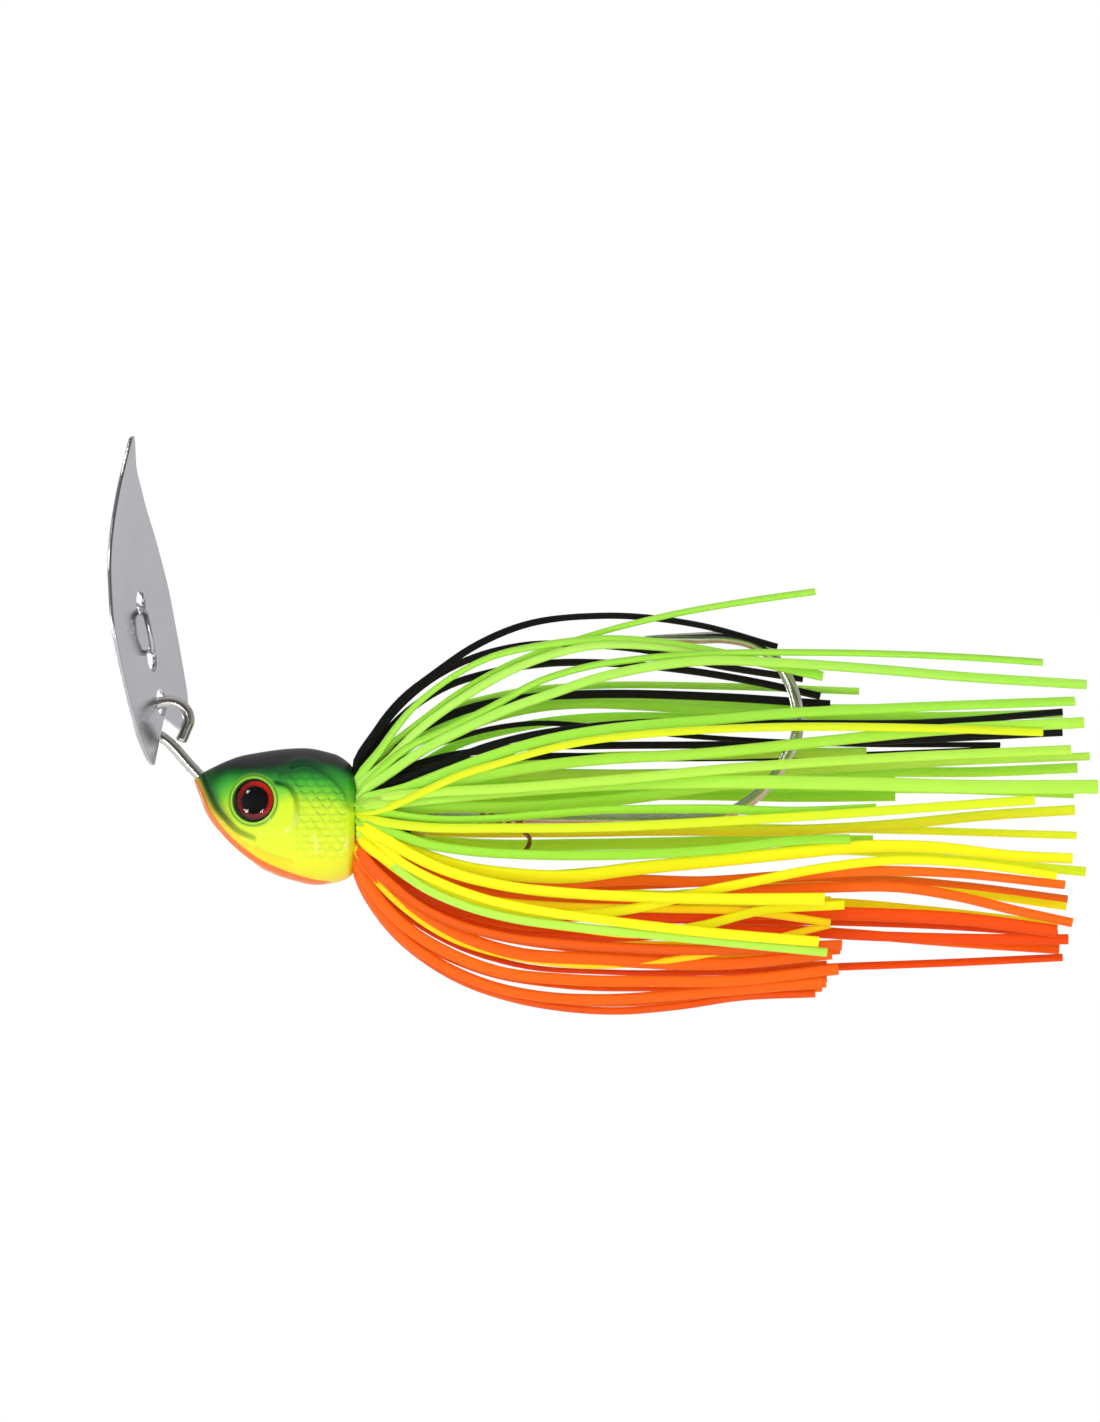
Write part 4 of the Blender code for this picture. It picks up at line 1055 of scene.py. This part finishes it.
def head_finish():
    """Sprayed paint from the dark back to the orange belly, with its lines and scales, under clear lacquer;
    painted shade in the grooves, under the scales and in the eye socket, and painted highlights on the folds
    and the eye's rim.
    """
    finish = Finish("head_paint")
    colours = bpy.context.scene.jig_colours
    place = finish.place()
    spray = finish.noise(place, 0.16, 3.0, 0.7)
    clouds = finish.noise(place, 3.0, 3.0)
    level = finish.mask("under_back") + (spray - 0.5) * 0.035 + (clouds - 0.5) * 0.05
    level = level - finish.mask("scale_field") * 0.035
    level = (level + 0.12) / 1.12
    paint = finish.ramp(level, (
        (0.07, tuple(colours.back)), (0.112, srgb(20, 48, 28)), (0.145, tuple(colours.shoulder)),
        (0.225, tuple(colours.side)), (0.315, srgb(120, 205, 50)), (0.42, tuple(colours.cheek)),
        (0.66, srgb(222, 240, 48)), (0.95, tuple(colours.throat)),
    ))
    # Painted highlights along the cheek's folds
    paint = finish.mix(finish.mask("gleam") * 0.4, paint, srgb(246, 252, 170))
    # Painted highlight: lighter lime on the eye's raised rim
    ring = finish.mask("eye_ring") * finish.mask("under_back").between(-0.05, 0.1)
    paint = finish.mix(ring * 0.75, paint, srgb(150, 212, 56))
    snout = finish.mask("snout")
    paint = finish.mix(snout * 0.8, paint, srgb(30, 104, 34))
    lip = finish.mask("lip")
    paint = finish.mix(lip * 0.9, paint, srgb(250, 226, 36))
    mottle = finish.noise(place, 0.9, 4.0, 0.6)
    orange = finish.mix(mottle.between(0.3, 0.7) * 0.5, tuple(colours.belly), srgb(250, 148, 30))
    paint = finish.mix((finish.mask("belly") + (spray - 0.5) * 0.3).between(0.2, 0.85), paint, orange)
    paint = finish.mix(finish.mask("throat_line") * 0.45, paint, srgb(246, 190, 30))
    paint = finish.mix(finish.mask("mouth") * 0.95, paint, srgb(18, 58, 26))
    # Painted shade along the gill and cover grooves
    paint = finish.mix(finish.mask("lines") * 0.9, paint, srgb(14, 70, 34))
    # Painted shade under each scale's lower edge, darker on the upper cheek
    high = 1 - finish.mask("under_back").between(0.12, 0.75)
    shade = finish.mix(high, srgb(96, 176, 40), srgb(18, 104, 40))
    paint = finish.mix(finish.mask("scale_edge") * (0.45 + 0.5 * high), paint, shade)
    # Painted shade in the groove round the eye
    paint = finish.mix(finish.mask("eye_line") * 0.8, paint, srgb(38, 110, 24))
    # Painted shade inside the eye socket
    paint = finish.mix(finish.mask("socket") * 0.9, paint, srgb(90, 110, 40))
    fine = finish.mix(0.35 * spray.between(0.4, 0.7), paint, (0.8, 0.8, 0.8), "MULTIPLY")
    return finish.surface(
        base_color=fine, roughness=0.4 + 0.14 * clouds, coat_weight=0.3, coat_roughness=0.06,
        normal=finish.bump(spray * 0.3 + clouds, 0.03), specular_ior_level=0.2,
    )


class JIG_OT_head(bpy.types.Operator):
    """Makes the cast and painted lead head with its skirt barrel"""
    bl_idname = "jig.head"
    bl_label = "Head"

    def execute(self, context):
        verts, faces = head_mesh(context.scene.jig_sizes.scale_height / MM)
        head = mesh_object("head_casting", verts, faces)
        profile = [(0.0, 0.0), *BARREL, (BARREL[-1][0], 0.0)]
        barrel = mesh_object("barrel", *lathe(profile, 64, (BARREL_START, 0.0, AXIS_HEIGHT)))
        combine(head, barrel, "UNION")
        for side in ("left", "right"):
            centre, outward = eye_seat(side)
            floor = centre - outward * SOCKET_DEPTH
            cutter = [(0.0, 0.0), (0.0, SOCKET_RADIUS), (SOCKET_REACH, SOCKET_RADIUS), (SOCKET_REACH, 0.0)]
            combine(head, mesh_object("socket", *lathe(cutter, 96, floor, outward)), "DIFFERENCE")
        smooth(head, 55.0)
        head_masks(head.data)
        put(head, MODEL, head_finish(), "head")
        return {"FINISHED"}


def foil_finish():
    """Printed foil: a black pupil in a red ring, with a painted highlight that makes the red brighter towards
    one side.
    """
    finish = Finish("eye_foil")
    colours = bpy.context.scene.jig_colours
    place = finish.place()
    across = finish.along(place, (1.0, 0.0, 0.0))
    up = finish.along(place, (0.0, 1.0, 0.0))
    distance = (across * across + up * up) ** 0.5
    uneven = finish.noise(place, 1.9, 2.0)
    streaks = finish.noise(place, 0.25, 3.0, 0.7)
    wave = distance + (uneven - 0.5) * 0.22
    # Painted highlight: lean lightens the red towards one side and shifts the ring a little outward there
    lean = (across * 0.6 + up * 0.5) / EYE_RADIUS
    wave = wave - lean * 0.2
    ring = wave.between(1.66, 1.82) * (1 - wave.between(2.18, 2.38))
    # Painted highlight: the red and its bright streaks grow lighter where lean is high
    red = finish.mix(uneven.between(0.3, 0.7) * 0.5 + lean * 0.9, srgb(104, 4, 3), tuple(colours.iris))
    red = finish.mix((streaks + lean * 0.4).between(0.5, 0.85) * 0.6, red, srgb(226, 46, 20))
    colour = finish.mix(ring, srgb(5, 3, 5), red)
    return finish.surface(
        base_color=colour, metallic=0.2 * ring, roughness=0.45 - 0.15 * streaks,
        normal=finish.bump(streaks, 0.02), specular_ior_level=0.1,
    )


def dome_finish():
    """Clear resin: what is behind shows through it, with the lights mirrored on top."""
    finish = Finish("eye_resin")
    place = finish.place()
    haze = finish.noise(place, 0.8, 3.0)
    clear = finish.node("ShaderNodeBsdfTransparent", None, {"Color": (0.97, 0.96, 0.95)})
    gloss = finish.node("ShaderNodeBsdfGlossy", None, {"Roughness": 0.07})
    edge = finish.value(finish.node("ShaderNodeFresnel", None, {"IOR": 1.5}))
    outside = 1 - finish.value(finish.node("ShaderNodeNewGeometry"), "Backfacing")
    factor = (edge * 0.85 + haze * 0.003) * outside
    return finish.show(finish.node(
        "ShaderNodeMixShader", None, {0: factor, 1: clear.outputs[0], 2: gloss.outputs[0]},
    ))


def foil_profile():
    """The foil disc with a thin chamfer, as (along, radius)."""
    edge, top = EYE_RADIUS - FOIL_EDGE, FOIL_THICKNESS
    return [
        (0.0, 0.0), (0.0, edge), (0.03, EYE_RADIUS), (top - 0.03, EYE_RADIUS), (top, edge), (top, 1.2),
        (top, 0.0),
    ]


def dome_profile():
    """The dome with a straight rim below it, as (along, radius)."""
    profile = [(0.0, 0.0), (0.0, EYE_RADIUS), (DOME_RIM, EYE_RADIUS)]
    for lift in np.radians(np.arange(6, 90, 6)):
        profile.append((DOME_RIM + DOME_RISE * math.sin(lift), EYE_RADIUS * math.cos(lift)))
    return [*profile, (DOME_RIM + DOME_RISE, 0.0)]


def eye_place(side, depth):
    """Where a piece of an eye sits: below the cheek by its depth, and facing outwards."""
    centre, outward = eye_seat(side)
    turn = outward.to_track_quat("Z", "Y").to_matrix().to_4x4()
    return Matrix.Translation((centre - outward * depth) * MM) @ turn


class JIG_OT_eyes(bpy.types.Operator):
    """Makes the two printed foil eyes and their clear domes"""
    bl_idname = "jig.eyes"
    bl_label = "Eyes"

    def execute(self, context):
        foil_material = foil_finish()
        dome_material = dome_finish()
        for side in ("left", "right"):
            foil = lathe(foil_profile(), EYE_SIDES, (0, 0, 0), (0, 0, 1))
            foil = mesh_object(f"eye_print_{side}", *foil, sharp=40.0)
            foil.matrix_world = eye_place(side, FOIL_DEPTH)
            put(foil, MODEL, foil_material, f"eye_foil_{side}")
            dome = lathe(dome_profile(), EYE_SIDES, (0, 0, 0), (0, 0, 1))
            dome = mesh_object(f"eye_lens_{side}", *dome, sharp=60.0)
            dome.matrix_world = eye_place(side, DOME_DEPTH)
            put(dome, MODEL, dome_material, f"eye_dome_{side}")
        return {"FINISHED"}


# ---------------------------------------------------------------- bait keeper and band

def bronze_finish():
    """Drawn bronze wire with some tarnish."""
    finish = Finish("keeper_bronze")
    place = finish.place()
    bronze = tuple(bpy.context.scene.jig_colours.bronze)
    tarnish = finish.noise(place, 0.7, 4.0, 0.6)
    drawn = finish.noise(place, 0.1, 2.0)
    colour = finish.mix(tarnish.between(0.4, 0.7) * 0.7, bronze, srgb(96, 62, 40))
    return finish.surface(
        base_color=colour, metallic=1.0, roughness=0.3 + 0.2 * tarnish, normal=finish.bump(drawn, 0.01),
    )


class JIG_OT_keeper(bpy.types.Operator):
    """Makes the bait keeper: bronze wire wound round the shank, ending in a prong"""
    bl_idname = "jig.keeper"
    bl_label = "Bait Keeper"

    def execute(self, context):
        wrap = context.scene.jig_sizes.hook_radius / MM + KEEPER_WIRE + 0.02
        turns = np.arange(0.0, KEEPER_TURNS * 2 * math.pi, math.radians(9.0))
        x = KEEPER_START + KEEPER_PITCH * turns / (2 * math.pi)
        height = ARM_TO_SHANK[-1][1] + (x - ARM_TO_SHANK[-1][0]) * SHANK_SLOPE
        coil = np.column_stack((x, wrap * np.sin(turns), height + wrap * np.cos(turns)))
        path = np.vstack((coil, smooth_path([coil[-1], *flat_path(KEEPER_PRONG)], 0.12)[1:]))
        sizes = np.ones(len(path))
        sizes[0] = sizes[-1] = 0.75
        middle = np.column_stack((path[:, 0], np.zeros(len(path)), np.full(len(path), AXIS_HEIGHT)))
        hints = path - middle + np.array((0.2, 0.0, 0.0))
        keeper = mesh_object("keeper_spring", *sweep(path, round_section(KEEPER_WIRE, 14), hints, sizes))
        put(keeper, MODEL, bronze_finish(), "bait_keeper")
        return {"FINISHED"}


def rubber_finish():
    """Black rubber with a little dust."""
    finish = Finish("band_rubber")
    place = finish.place()
    dust = finish.noise(place, 0.6, 4.0, 0.6)
    grain = finish.noise(place, 0.08, 2.0)
    colour = finish.mix(dust.between(0.45, 0.75) * 0.4, srgb(30, 30, 32), srgb(66, 64, 60))
    return finish.surface(base_color=colour, roughness=0.6 + 0.25 * dust, normal=finish.bump(grain, 0.02))


class JIG_OT_band(bpy.types.Operator):
    """Makes the rubber band that grips the skirt"""
    bl_idname = "jig.band"
    bl_label = "Skirt Band"

    def execute(self, context):
        low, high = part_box("skirt_band")
        outer = (high.z - low.z) / 2 / MM
        inner = outer - BAND_WALL
        length = BAND_END - BAND_START
        profile = [(BAND_CHAMFER, inner), (0.0, inner + BAND_CHAMFER)]
        for share in np.linspace(0.0, 1.0, 33):
            ridge = BAND_RIDGE * math.cos(share * 2 * math.pi * BAND_RIDGES)
            past = max(0.0, abs(share - 0.5) * 2 - BAND_FLAT)
            edge = BAND_EDGE * (1 - math.sqrt(max(0.0, 1 - (past / (1 - BAND_FLAT)) ** 2)))
            profile.append((share * length, outer - 0.1 - edge + ridge * (edge == 0)))
        profile += [(length, inner + BAND_CHAMFER), (length - BAND_CHAMFER, inner)]
        band = mesh_object("band_ring", *lathe(profile, 96, (BAND_START, 0.0, AXIS_HEIGHT)), sharp=50.0)
        put(band, MODEL, rubber_finish(), "skirt_band")
        return {"FINISHED"}


# ---------------------------------------------------------------- skirt

def silicone_finish(colour_name):
    """Silicone sheet: each strand has its own tone between the deeper and the paler one."""
    finish = Finish(f"silicone_{colour_name}")
    place = finish.place()
    deeper, paler = SILICONE_COLOURS[colour_name]
    dark = colour_name == "black"
    tone = finish.mask("tone")
    cloud = finish.noise(place, 5.0, 3.0)
    fleck = finish.noise(place, 0.22, 3.0, 0.7)
    paint = finish.mix(tone * 0.75 + cloud * 0.25, deeper, paler)
    paint = finish.mix(fleck.between(0.55, 0.75) * 0.12, paint, deeper)
    skin = finish.noise(place, 0.5, 3.0, 0.6)
    return finish.surface(
        base_color=paint, roughness=0.42 + 0.2 * skin, normal=finish.bump(skin + fleck * 0.3, 0.02),
        subsurface_weight=0.0 if dark else 0.4, subsurface_radius=(1.0, 1.0, 0.5), subsurface_scale=0.6 * MM,
        specular_ior_level=0.18,
    )


def strand_section(width, thickness):
    """A strip's section: a rectangle with rounded corners."""
    corner = STRAND_ROUNDING
    half, tall = width / 2, thickness / 2
    return (
        (half, -tall + corner), (half, tall - corner), (half - corner, tall), (-half + corner, tall),
        (-half, tall - corner), (-half, -tall + corner), (-half + corner, -tall), (half - corner, -tall),
    )


def strand_path(crest, end, route):
    """A strand from under the band, round the back of the head and along its route."""
    side = math.copysign(1.0, crest)
    first_x, first_z = route[0]
    up = first_z - AXIS_HEIGHT
    out = side * math.sqrt(max(SKIRT_COLLAR ** 2 - up * up, 1.0))
    start = np.array((out, up)) / math.hypot(out, up)
    middle = np.array((0.0, AXIS_HEIGHT))
    points = [(BAND_START + ahead, *(start * radius + middle)) for ahead, radius in SKIRT_ROOTS]
    middle_x, middle_z = SKIRT_MIDDLE
    last_x = route[-1][0]
    for x, z in route:
        share = min(1.0, max(0.0, (x - first_x) / (SKIRT_FULLEST - first_x)))
        y = out + (crest - out) * (1 - (1 - share) ** 2)
        if x > SKIRT_FULLEST:
            past = (x - SKIRT_FULLEST) / (last_x - SKIRT_FULLEST)
            y = crest + (end - crest) * past * past * (3 - 2 * past)
        drawn = 1 + y * DRAW_IN
        points.append((middle_x + (x - middle_x) * drawn, y, middle_z + (z - middle_z) * drawn))
    return points


def skirt_piece(name, strands, thickness, chance):
    """One colour bundle: its strands as strips, each a little twisted and with a tone of its own."""
    verts, faces, tones = [], [], []
    for crest, end, width, route in strands:
        points = strand_path(crest, end, route)
        length = sum(math.dist(a, b) for a, b in zip(points, points[1:]))
        path = smooth_path(points, length / STRAND_STEPS)
        radial = path * np.array((0.0, 1.0, 1.0)) - np.array((0.0, 0.0, AXIS_HEIGHT))
        radial = unit(unit(radial) + np.array((0.0, STRAND_TURN * math.copysign(1.0, crest), 0.0)))
        share = np.linspace(0.0, 1.0, len(path))
        lean, sway = chance.uniform(-0.5, 0.5), chance.uniform(-0.5, 0.5)
        swing = lean + sway * np.sin(share * chance.uniform(2.0, 6.0))
        turned = np.column_stack((
            np.zeros(len(path)),
            radial[:, 1] * np.cos(swing) - radial[:, 2] * np.sin(swing),
            radial[:, 1] * np.sin(swing) + radial[:, 2] * np.cos(swing),
        ))
        sizes = STRAND_NECK + (1 - STRAND_NECK) * soft_step(share, 0.02, 0.12)
        new_verts, new_faces = sweep(path, strand_section(width * WIDTH_SHARE, thickness), turned, sizes)
        base = len(verts)
        verts.extend(new_verts.tolist())
        faces.extend(tuple(base + index for index in face) for face in new_faces)
        tones.extend([chance.uniform(0.0, 1.0)] * len(new_verts))
    obj = mesh_object(f"strands_{name}", verts, faces)
    set_mask(obj.data, "tone", tones)
    return obj


class JIG_OT_skirt(bpy.types.Operator):
    """Makes the silicone strands, one group for each colour, length and side"""
    bl_idname = "jig.skirt"
    bl_label = "Skirt"

    def execute(self, context):
        chance = np.random.default_rng(SEED)
        thickness = context.scene.jig_sizes.strand_thickness / MM
        finishes = {colour: silicone_finish(colour) for colour in SILICONE_COLOURS}
        for name, strands in STRANDS.items():
            colour = name.split("_", 1)[1].rsplit("_", 1)[0]
            piece = skirt_piece(name, strands, thickness, chance)
            put(piece, MODEL, finishes[colour], f"skirt_{name}")
        return {"FINISHED"}


# ---------------------------------------------------------------- blade and snap

def steel_finish(name, scratches):
    """Polished steel with fine brushing along the blade and a few scratches."""
    finish = Finish(name)
    place = finish.place()
    steel = tuple(bpy.context.scene.jig_colours.steel)
    across, up, _ = blade_axes()
    along = finish.along(place, up)
    sideways = finish.along(place, across)
    brushed = finish.noise(finish.join(along * 0.00025, sideways * 0.004, 0.0), 1.0, 3.0, 0.65)
    fine = finish.noise(finish.join(along * 0.004, sideways * 0.0005, 0.0), 0.6, 2.0, 0.6)
    cloud = finish.noise(place, 7.0, 3.0)
    pits = finish.noise(place, 0.3, 2.0, 0.7).between(0.66, 0.74)
    marks = brushed.between(0.62, 0.7) * scratches
    colour = finish.mix(cloud * 0.35, steel, srgb(168, 168, 176))
    colour = finish.mix(marks * 0.35 + pits * 0.2 * scratches, colour, srgb(96, 96, 102))
    return finish.surface(
        base_color=colour, metallic=1.0, roughness=0.13 + 0.12 * cloud + 0.12 * marks,
        normal=finish.bump(brushed * 0.5 + fine * 0.5, 0.01 * scratches + 0.003),
    )


def blade_axes():
    """The blade's directions: across to its far edge, up its length, and out of its hollow face."""
    level = math.cos(BLADE_ROLL)
    across = Vector((math.sin(BLADE_YAW) * level, math.cos(BLADE_YAW) * level, math.sin(BLADE_ROLL)))
    lean_x, lean_z = BLADE_LEAN
    up = Vector((lean_x, -(across.x * lean_x + across.z * lean_z) / across.y, lean_z)).normalized()
    return across, up, across.cross(up).normalized()


def blade_point(along, sideways):
    """A place in the middle of the bowed plate, up its length from the eye hole and across it."""
    across, up, out = blade_axes()
    bow = float(read_outline(BLADE_BOW, along))
    return Vector((BLADE_HANG[0], 0.0, BLADE_HANG[1])) + up * along + across * sideways + out * bow


def blade_bottom(share):
    """Height of the lower edge, from the notch in the middle to the shoulder at the side."""
    share = abs(share)
    if share < LOBE_PLACE:
        return NOTCH_TOP + (LOBE_BOTTOM - NOTCH_TOP) * share / LOBE_PLACE
    past = (share - LOBE_PLACE) / (1 - LOBE_PLACE)
    return LOBE_BOTTOM + (BLADE_SHOULDER - LOBE_BOTTOM) * past * past


def hole_tool(along, radius, thickness):
    """A round cutter that flares at both faces, so that the hole's edges come out rounded."""
    _, _, out = blade_axes()
    face = thickness / 2 + 0.02
    flares = [
        (face - HOLE_FLARE * math.sin(turn), radius + HOLE_FLARE * (1 - math.sin(turn)))
        for turn in np.radians(np.arange(90, -1, -15))
    ]
    upper = [*flares, (HOLE_REACH, radius + HOLE_FLARE), (HOLE_REACH, 0.0)]
    profile = [(-along_axis, wide) for along_axis, wide in reversed(upper)] + upper
    return mesh_object("hole", *lathe(profile, 64, blade_point(along, 0.0), out))


def blade_mesh(thickness):
    """The plate as loops round its width, from the notched end to the tip, with every edge rounded."""
    _, _, out = blade_axes()
    turns = np.radians(np.arange(0, 91, 22.5))
    steps = np.arange(BLADE_COLUMNS + 1) / BLADE_COLUMNS * 2 - 1
    rows = [(0.0, BLADE_EDGE * (1 - math.sin(turn)), math.cos(turn)) for turn in turns[::-1]]
    rows += [(row / BLADE_ROWS, 0.0, 1.0) for row in range(1, BLADE_ROWS)]
    rows += [(1.0, -BLADE_EDGE * (1 - math.sin(turn)), math.cos(turn)) for turn in turns]
    verts, faces = [], []
    for share_up, inset, flatness in rows:
        half = float(read_outline(BLADE_HALF_WIDTH, LOBE_BOTTOM + (BLADE_TOP - LOBE_BOTTOM) * share_up))
        edge = min(BLADE_EDGE, 0.4 * half)
        over = [(step * (half - edge), thickness / 2) for step in steps]
        rim = [
            (half - edge + edge * math.sin(turn), thickness / 2 - edge * (1 - math.cos(turn)))
            for turn in turns[1:]
        ]
        over = [(-place, height) for place, height in reversed(rim)] + over + rim
        loop = over + [(place, -height) for place, height in reversed(over)]
        squeeze = 1 - (1 - flatness) * 2 * BLADE_EDGE / thickness
        for sideways, height in loop:
            share = sideways / half
            bottom = blade_bottom(share)
            along = bottom + (BLADE_TOP - bottom) * share_up + inset
            place = share * float(read_outline(BLADE_HALF_WIDTH, along))
            verts.append(tuple(blade_point(along, place) + out * (height * squeeze)))
    count, wide = len(loop), len(loop) // 2
    for row in range(len(rows) - 1):
        for index in range(count):
            first, after = row * count + index, row * count + (index + 1) % count
            faces.append((first, after, after + count, first + count))
    for start in (0, (len(rows) - 1) * count):
        for index in range(wide - 1):
            far = start + count - 1 - index
            faces.append((start + index, start + index + 1, far - 1, far))
    return verts, faces


class JIG_OT_blade(bpy.types.Operator):
    """Makes the bowed steel blade with its notch and three holes"""
    bl_idname = "jig.blade"
    bl_label = "Blade"

    def execute(self, context):
        thickness = context.scene.jig_sizes.blade_thickness / MM
        blade = mesh_object("blade_plate", *blade_mesh(thickness), sharp=40.0)
        for along, radius in ((0.0, EYE_HOLE_RADIUS), *((place, SNAP_HOLE_RADIUS) for place in SNAP_HOLES)):
            combine(blade, hole_tool(along, radius, thickness), "DIFFERENCE")
        smooth(blade, 40.0)
        put(blade, "blade", steel_finish("blade_steel", 1.0), "blade")
        return {"FINISHED"}


class JIG_OT_snap(bpy.types.Operator):
    """Makes the spring wire snap in the blade's two upper holes"""
    bl_idname = "jig.snap"
    bl_label = "Line Snap"

    def execute(self, context):
        low, high = (blade_point(along, 0.0) for along in SNAP_HOLES)
        hinge = (high - low).normalized()
        across, _, _ = blade_axes()
        forward = -across.cross(hinge).normalized()
        outward = forward * math.cos(SNAP_SWING) + across * math.sin(SNAP_SWING)
        beside = hinge.cross(outward)
        points = [(low + high) / 2 + hinge * a + outward * b + beside * c for a, b, c in SNAP_ROUTE]
        path = smooth_path([tuple(point) for point in points], 0.14)
        sizes = np.ones(len(path))
        sizes[0] = sizes[-1] = SNAP_END_SHARE
        section = round_section(context.scene.jig_sizes.snap_radius / MM, 18)
        snap = mesh_object("snap_wire", *sweep(path, section, tuple(beside + across * 0.01), sizes))
        put(snap, "snap", steel_finish("snap_steel", 0.3), "line_snap")
        return {"FINISHED"}


# ---------------------------------------------------------------- stage

# Floor, in millimetres
FLOOR_HEIGHT = -200.0
FLOOR_RADIUS = 600.0
FLOOR_THICKNESS = 4.0

# Lamps and camera, in metres. Each lamp stands once on each side: its place as (x, out to the side, z), its
# size, its power, and whether the pieces mirror it. The small mirrored ones put the sparkle in the eyes.
LAMP_TARGET = (0.03, 0.0, -0.01)
SIDE_LAMPS = (
    ("key", (-0.25, 0.75, 0.42), (0.6, 0.45), 2.1, False),
    ("fill", (0.45, 0.7, -0.02), (0.4, 0.5), 1.2, False),
    ("front", (0.05, 1.0, 0.02), (0.4, 0.4), 2.3, False),
    ("low_sparkle", (-0.62, 0.6, -0.19), (0.13, 0.13), 1.014, True),
    ("high_sparkle", (-0.58, 0.6, 0.31), (0.08, 0.08), 0.384, True),
    ("near_sparkle", (-0.14, 0.6, -0.17), (0.08, 0.08), 0.384, True),
)
CAMERA_PLACE = (0.0464, -1.294, 0.0011)
CAMERA_LENS = 270.0
CAMERA_SENSOR = 36.0


def soft_box(name, place, size, power, mirrored=False):
    """A flat lamp; one that is not mirrored lights the pieces without a reflection of its own."""
    light = bpy.data.lights.new(name, "AREA")
    light.shape = "RECTANGLE"
    light.size, light.size_y = size
    light.energy = power
    obj = bpy.data.objects.new(name, light)
    obj.location = place
    obj.rotation_euler = (Vector(LAMP_TARGET) - Vector(place)).to_track_quat("-Z", "Y").to_euler()
    obj.visible_glossy = mirrored
    bpy.context.scene.collection.objects.link(obj)


def studio_world():
    """White to look at, and graded from front to back and from floor to ceiling for what shines."""
    finish = Finish("studio", surroundings=True)
    direction = finish.value(finish.node("ShaderNodeTexCoord"), "Generated")
    parts = finish.node("ShaderNodeSeparateXYZ", None, {0: direction})
    levels = []
    for axis, stops in (
        ("Y", ((0.0, 0.14), (0.1, 0.17), (0.25, 0.5), (0.5, 0.7), (0.9, 0.74))),
        ("Z", ((0.05, 0.5), (0.3, 0.4), (0.47, 1.0), (0.54, 1.0), (0.68, 0.5), (0.98, 0.85))),
    ):
        share = finish.value(parts, axis) * 0.5 + 0.5
        levels.append(finish.ramp(share, [(place, (level, level, level)) for place, level in stops]))
    grey = finish.mix(1.0, *levels, "MULTIPLY")
    lit = finish.node("ShaderNodeBackground", None, {"Color": grey, "Strength": 0.95})
    white = finish.node("ShaderNodeBackground", None, {"Color": (1.0, 1.0, 1.0)})
    looked_at = finish.value(finish.node("ShaderNodeLightPath"), "Is Camera Ray")
    bpy.context.scene.world = finish.show(finish.node(
        "ShaderNodeMixShader", None, {0: looked_at, 1: lit.outputs[0], 2: white.outputs[0]},
    ))


def floor_finish():
    finish = Finish("floor_white")
    haze = finish.noise(finish.place(), 40.0, 3.0)
    return finish.surface(
        base_color=finish.mix(haze * 0.3, srgb(250, 250, 250), srgb(240, 240, 240)), roughness=0.8,
    )


class JIG_OT_stage(bpy.types.Operator):
    """Makes the pale floor, the soft lights and the camera"""
    bl_idname = "jig.stage"
    bl_label = "Stage"

    def execute(self, context):
        low, high = CAD_BOX
        disc = [(0.0, 0.0), (0.0, FLOOR_RADIUS), (-FLOOR_THICKNESS, FLOOR_RADIUS), (-FLOOR_THICKNESS, 0.0)]
        centre = ((low.x + high.x) / 2 / MM, 0.0, FLOOR_HEIGHT)
        floor = mesh_object("floor", *lathe(disc, 96, centre, (0, 0, 1)))
        floor.data.materials.append(floor_finish())
        studio_world()
        for side, name in ((-1, "left"), (1, "right")):
            for lamp, (x, y, z), size, power, mirrored in SIDE_LAMPS:
                soft_box(f"{lamp}_{name}", (x, side * y, z), size, power, mirrored)
        soft_box("top_light", (0.05, 0.0, 0.8), (0.6, 0.5), 0.8)
        camera_data = bpy.data.cameras.new("camera")
        camera_data.lens = CAMERA_LENS
        camera_data.sensor_width = CAMERA_SENSOR
        camera_data.clip_start = 0.01
        camera = bpy.data.objects.new("camera", camera_data)
        camera.location = CAMERA_PLACE
        camera.rotation_euler = (math.pi / 2, 0.0, 0.0)
        context.scene.collection.objects.link(camera)
        context.scene.camera = camera
        context.scene.view_settings.view_transform = "Standard"
        return {"FINISHED"}


# ---------------------------------------------------------------- panel and registration

OPERATORS = (
    JIG_OT_stage, JIG_OT_hook, JIG_OT_head, JIG_OT_eyes, JIG_OT_keeper, JIG_OT_band, JIG_OT_skirt,
    JIG_OT_blade, JIG_OT_snap,
)


class JIG_PT_panel(bpy.types.Panel):
    """Lists the jig's pieces in the 3D view's sidebar"""
    bl_idname = "JIG_PT_panel"
    bl_label = "Bladed Jig"
    bl_space_type = "VIEW_3D"
    bl_region_type = "UI"
    bl_category = "Jig"

    def draw(self, context):
        layout = self.layout
        for operator in OPERATORS:
            layout.operator(operator.bl_idname)
        for group in (context.scene.jig_sizes, context.scene.jig_colours):
            for name in group.__annotations__:
                layout.prop(group, name)


CLASSES = (JigSizes, JigColours, *OPERATORS, JIG_PT_panel)


def register():
    for cls in CLASSES:
        bpy.utils.register_class(cls)
    bpy.types.Scene.jig_sizes = bpy.props.PointerProperty(type=JigSizes)
    bpy.types.Scene.jig_colours = bpy.props.PointerProperty(type=JigColours)


def unregister():
    del bpy.types.Scene.jig_colours
    del bpy.types.Scene.jig_sizes
    for cls in reversed(CLASSES):
        bpy.utils.unregister_class(cls)


def main():
    register()
    for operator in OPERATORS:
        group, name = operator.bl_idname.split(".")
        getattr(getattr(bpy.ops, group), name)()


if __name__ == "__main__":
    main()
